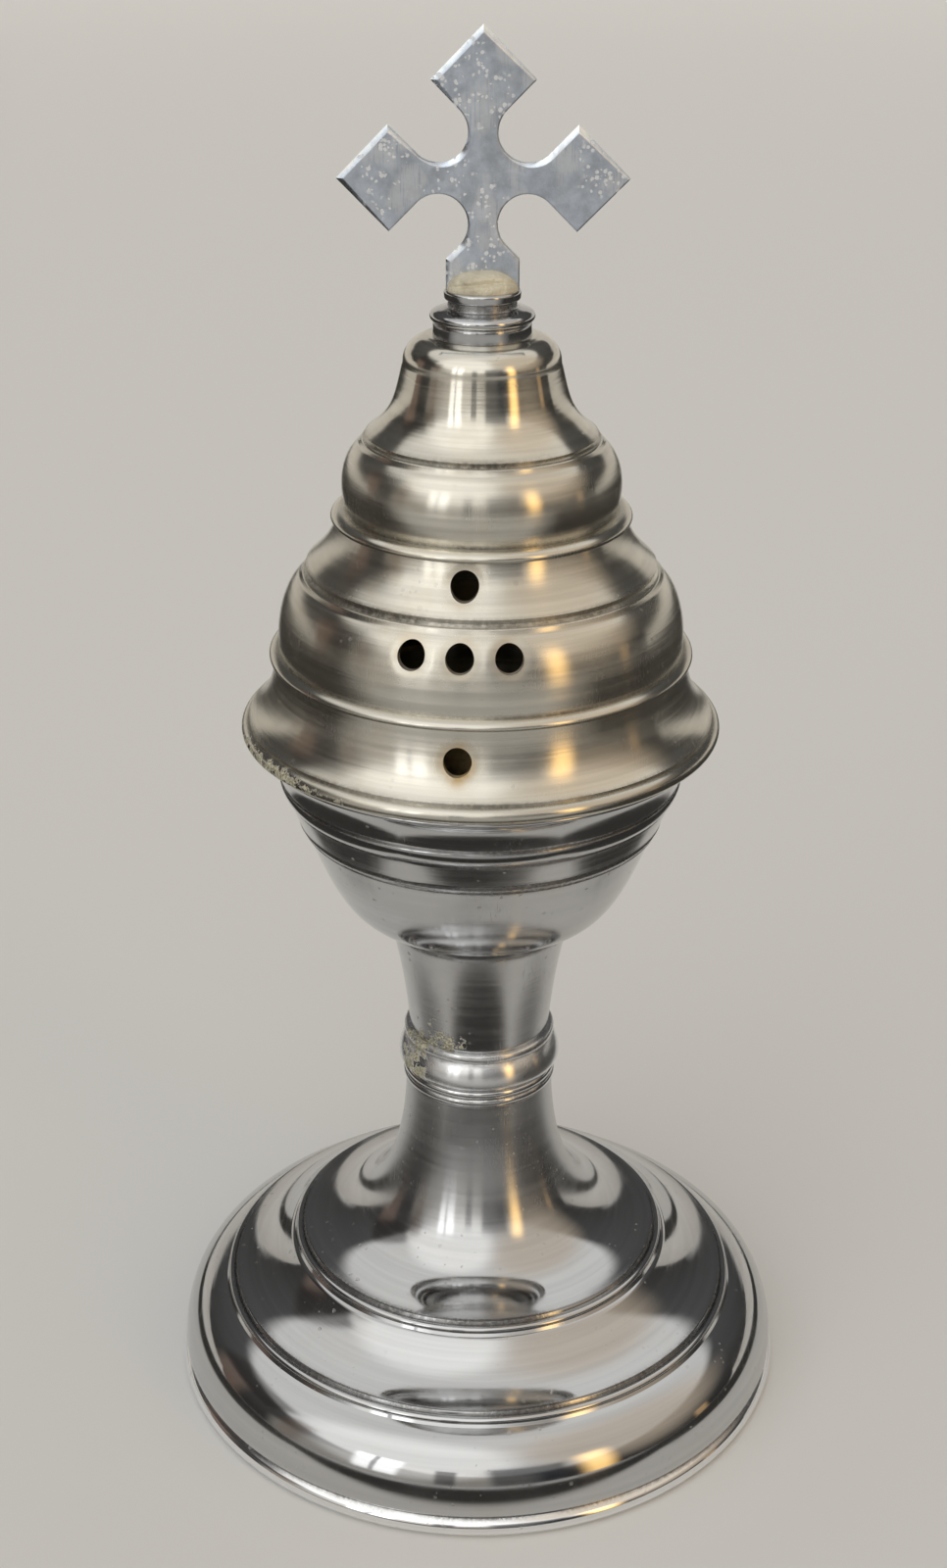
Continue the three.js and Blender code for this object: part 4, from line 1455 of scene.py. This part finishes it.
@dataclass
class Hardware(Piece):
    """Rod, washers and nuts keep their solids and get zinc plate."""

    nodes: tuple[str, ...] = ("foot_washer", "foot_nut", "tie_rod", "bowl_washer", "bowl_nut", "finial_stud",
                              "finial_washer", "finial_nut")

    def build(self) -> None:
        """Dresses each carried-over solid."""
        for name in self.nodes:
            self.finishes.dress(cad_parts[name], Slot.HARDWARE)
            LOG.info("%s: carried over", name)


# Stage


@dataclass(frozen=True)
class Glow:
    """One soft-edged patch of the surroundings, in degrees as seen from the censer.

    Azimuth 0 is towards the camera and grows to the viewer's right. Width and height are half angles, and a
    patch with no height is round. Level is added; with keep under 1 the patch first dims what is behind it.
    """

    azimuth: float
    elevation: float
    width: float
    height: float
    edge: float
    level: float
    colour: Colour = WHITE
    keep: float = 1.0

    def axes(self) -> tuple[Vector, Vector, Vector]:
        """Direction of the patch, and the right and up axes round it."""
        a, e = math.radians(self.azimuth), math.radians(self.elevation)
        ahead = Vector((math.sin(a) * math.cos(e), -math.cos(a) * math.cos(e), math.sin(e)))
        right = Vector((math.cos(a), math.sin(a), 0))
        return ahead, right, ahead.cross(right)

    def mask(self, graph: Graph, way: Socket) -> Socket:
        """Mask of the patch, 1 inside and 0 outside.

        A round patch compares the angle from its middle, a square one the slopes sideways and upwards.

        Args:
            graph: the world's node graph.
            way: the direction looked along.

        Returns:
            The mask's socket.
        """
        depth, aside, above = (
            graph.vector("DOT_PRODUCT", way, axis).outputs["Value"] for axis in self.axes())
        if not self.height:
            zero, one = (math.cos(math.radians(self.width + k * self.edge)) for k in (1, -1))
            return graph.fade(depth, zero, one)
        front = graph.math("MAXIMUM", depth, 0.02)
        parts = []
        for along, reach in ((aside, self.width), (above, self.height)):
            slope = graph.math("ABSOLUTE", graph.math("DIVIDE", along, front))
            one, zero = (math.tan(math.radians(reach + k * self.edge)) for k in (-0.5, 0.5))
            parts.append(graph.fade(slope, zero, one))
        return graph.math("MULTIPLY", *parts)

    def lay(self, graph: Graph, way: Socket, room: Socket) -> Socket:
        """Lays the patch over the room's light.

        Args:
            graph: the world's node graph.
            way: the direction looked along.
            room: the light so far.

        Returns:
            The light with the patch.
        """
        mask = self.mask(graph, way)
        if self.keep < 1:
            dim = graph.mix(mask, (*WHITE, 1), (self.keep, self.keep, self.keep, 1))
            room = graph.vector("MULTIPLY", room, dim).outputs[0]
        light = tuple(self.level * c for c in self.colour)
        return graph.vector("ADD", room, graph.scale(light, mask)).outputs[0]


@dataclass
class Studio:
    """Pale floor, soft surroundings and the photograph's camera; the stage is in metres."""

    eye: Colour = (0.0, -0.3718, 0.2948)
    pitch: float = 24.68
    yaw: float = -0.19
    roll: float = 0.19
    lens: float = 51.27
    floor_tone: float = 0.78
    floor_half: float = 14.0
    floor_back: float = 2.5
    floor_bend: float = 1.4
    floor_flat: float = 0.6
    felt_half: float = 3.6
    felt_height: float = 0.0006
    felt_points: int = 281
    felt_squeeze: float = 4.9
    felt_cover: float = 0.94
    strip_foot: float = 0.069
    strip_half: float = 0.0995
    strip_spread: float = 0.193
    ground: Colour = (0.035, 0.032, 0.029)
    zenith: Colour = (0.12, 0.12, 0.12)
    pale: Colour = (0.54, 0.517, 0.477)
    glows: tuple[Glow, ...] = (
        Glow(4, 75, 58, 0, 2.5, 0.72, (1.0, 0.985, 0.95)),
        Glow(-30, 40, 34, 0, 8, 0.38, (1.0, 0.99, 0.97)),
        Glow(-28, 5, 48, 17, 10, 0.30, (1.0, 0.94, 0.84)),
        Glow(67, 42, 30, 0, 14, 0.46, (1.0, 0.83, 0.64), keep=0.3),
        Glow(-98, 31, 15, 11, 6, 0.02, (1.0, 0.8, 0.7), keep=0.35),
        Glow(18, 12, 13, 18, 5, 0.03, (0.75, 0.82, 1.0), keep=0.28),
        Glow(-11, 12, 3.5, 12, 2, 0.02, (0.75, 0.82, 1.0), keep=0.3),
        Glow(-36, 18, 8, 13, 3, 1.0, (0.97, 0.99, 1.0)),
        Glow(-37, 18, 0.9, 13, 0.8, 0.05, (0.97, 0.99, 1.0), keep=0.3),
        Glow(-70, 16, 5, 18, 6, 0.1, (0.8, 0.55, 0.4), keep=0.5),
        Glow(-103, 6, 8, 15, 8, 0.13, (1.0, 0.66, 0.5)),
        Glow(43, 14, 5, 19, 8, 1.8, (1.0, 0.62, 0.22)),
        Glow(86, 2, 3, 6, 3, 0.45, (1.0, 0.62, 0.28)),
    )

    def camera(self) -> None:
        """Camera whose right, up and back axes come from the fitted pitch, yaw and roll."""
        pitch, yaw, roll = (math.radians(v) for v in (self.pitch, self.yaw, self.roll))
        ahead = Vector((math.sin(yaw) * math.cos(pitch), math.cos(yaw) * math.cos(pitch), -math.sin(pitch)))
        right = Vector((math.cos(yaw), -math.sin(yaw), 0))
        up = right.cross(ahead)
        turned_right = math.cos(roll) * right + math.sin(roll) * up
        turned_up = -math.sin(roll) * right + math.cos(roll) * up
        data = bpy.data.cameras.new("photo_camera")
        data.lens, data.sensor_width = self.lens, 36.0
        data.clip_start, data.clip_end = 0.01, 50
        made = bpy.data.objects.new("photo_camera", data)
        bpy.context.scene.collection.objects.link(made)
        turn = Matrix((turned_right, turned_up, -ahead)).transposed().to_4x4()
        made.matrix_world = Matrix.Translation(self.eye) @ turn
        bpy.context.scene.camera = made

    @staticmethod
    def place(name: str, grid: np.ndarray, material: bpy.types.Material) -> bpy.types.Object:
        """Links a stage mesh given as a grid of points in metres.

        Args:
            name: object name.
            grid: (rows, count, 3) array of points.
            material: what it is made of.

        Returns:
            The new stage object.
        """
        mesh = bpy.data.meshes.new(name)
        faces = grid_faces(*grid.shape[:2])[:, [0, 3, 2, 1]]
        mesh.from_pydata(grid.reshape(-1, 3).tolist(), [], faces.tolist())
        mesh.shade_smooth()
        mesh.materials.append(material)
        made = bpy.data.objects.new(name, mesh)
        bpy.context.scene.collection.objects.link(made)
        return made

    def floor(self) -> None:
        """Wide pale floor that curves up far behind, as one swept sheet: flat, then a quarter circle."""
        run = np.linspace(0, 1, 33)
        bend = np.clip((run - self.floor_flat) / (1 - self.floor_flat), 0, 1) * np.pi / 2
        flat = run / self.floor_flat * (self.floor_half + self.floor_back) - self.floor_half
        y = np.where(run < self.floor_flat, flat, self.floor_back + np.sin(bend) * self.floor_bend)
        x, y = np.meshgrid(np.array([-self.floor_half, self.floor_half]), y, indexing="ij")
        z = np.broadcast_to((1 - np.cos(bend)) * self.floor_bend, x.shape)
        paper, _, shader = new_material("pale floor")
        tone = self.floor_tone
        shader.inputs["Base Color"].default_value = (tone, tone, tone * 0.985, 1)
        shader.inputs["Roughness"].default_value = 0.9
        shader.inputs["Specular IOR Level"].default_value = 0.15
        self.place("floor", np.stack([x, y, z], -1), paper)

    def felt(self) -> None:
        """Felt on the floor round the censer, outside the picture, seen by reflections only.

        A flat grid, finest at the middle, whose cover is 0 on the strip of floor that the picture shows: the
        strip starts at the picture's foot and widens with the distance y. The felt is dark, and pale further
        in front.
        """
        side = np.sinh(np.linspace(-self.felt_squeeze, self.felt_squeeze, self.felt_points))
        side *= self.felt_half / math.sinh(self.felt_squeeze)
        x, y = np.meshgrid(side, side, indexing="ij")
        cloth, graph, shader = new_material("black felt")
        tone = graph.mix(graph.attribute("far"), (0.02, 0.018, 0.016, 1), (0.62, 0.63, 0.64, 1))
        graph.send(tone, shader.inputs["Base Color"])
        graph.send(graph.attribute("cover"), shader.inputs["Alpha"])
        shader.inputs["Roughness"].default_value = 1.0
        shader.inputs["Specular IOR Level"].default_value = 0.0
        made = self.place("felt", np.stack([x, y, np.full_like(x, self.felt_height)], -1), cloth)
        past = np.maximum(-y - self.strip_foot, np.abs(x) - (self.strip_half + self.strip_spread * y))
        outer = np.clip((3.5 - np.hypot(x, y)) / 0.8, 0, 1)
        paint(made, "cover", (self.felt_cover * np.clip(past / 0.008, 0, 1) * outer).reshape(-1))
        ahead = np.clip((-y - 0.15) / 0.06, 0, 1)
        aside = np.clip((78 - np.abs(np.degrees(np.arctan2(x, -y)) + 12)) / 30, 0, 1)
        paint(made, "far", (ahead * aside).reshape(-1))
        made.visible_camera = made.visible_diffuse = made.visible_shadow = False

    def world(self) -> None:
        """Surroundings: a dim room that brightens upwards, with soft patches of light laid over it.

        Past the floor's edge the camera sees a pale backdrop, and so does metal that looks back low behind
        the censer.
        """
        made = bpy.data.worlds.new("studio")
        made.use_nodes = True
        graph = Graph(made.node_tree)
        way = graph.node("ShaderNodeTexCoord").outputs["Generated"]
        _, back, height = graph.node("ShaderNodeSeparateXYZ", {0: way}).outputs
        room = graph.mix(graph.span(height, 0.0, 0.9), (*self.ground, 1), (*self.zenith, 1))
        for glow in self.glows:
            room = glow.lay(graph, way, room)
        behind = graph.math("MULTIPLY", graph.span(back, 0.7, 0.8), graph.span(height, 0.30, 0.34, 1.0, 0.0))
        ray = graph.node("ShaderNodeLightPath").outputs
        mirrored = graph.math("MAXIMUM", ray["Is Glossy Ray"], ray["Is Transmission Ray"])
        seen = graph.math("MAXIMUM", ray["Is Camera Ray"], graph.math("MULTIPLY", mirrored, behind))
        backdrop = made.node_tree.nodes["Background"]
        graph.send(graph.mix(seen, room, (*self.pale, 1)), backdrop.inputs[0])
        backdrop.inputs[1].default_value = 1.0
        bpy.context.scene.world = made

    def build(self) -> None:
        """Sets camera, floor, felt and surroundings."""
        bpy.context.scene.view_settings.view_transform = "Standard"
        self.camera()
        self.floor()
        self.felt()
        self.world()


def main() -> None:
    """Builds every sub-assembly in order, then the studio."""
    finishes = Finishes()
    for maker in (Stand(finishes), Cup(finishes), Lid(finishes), Cross(finishes), Hardware(finishes)):
        maker.build()
        LOG.info("%s finished", type(maker).__name__)
    Studio().build()


if __name__ == "__main__":
    main()
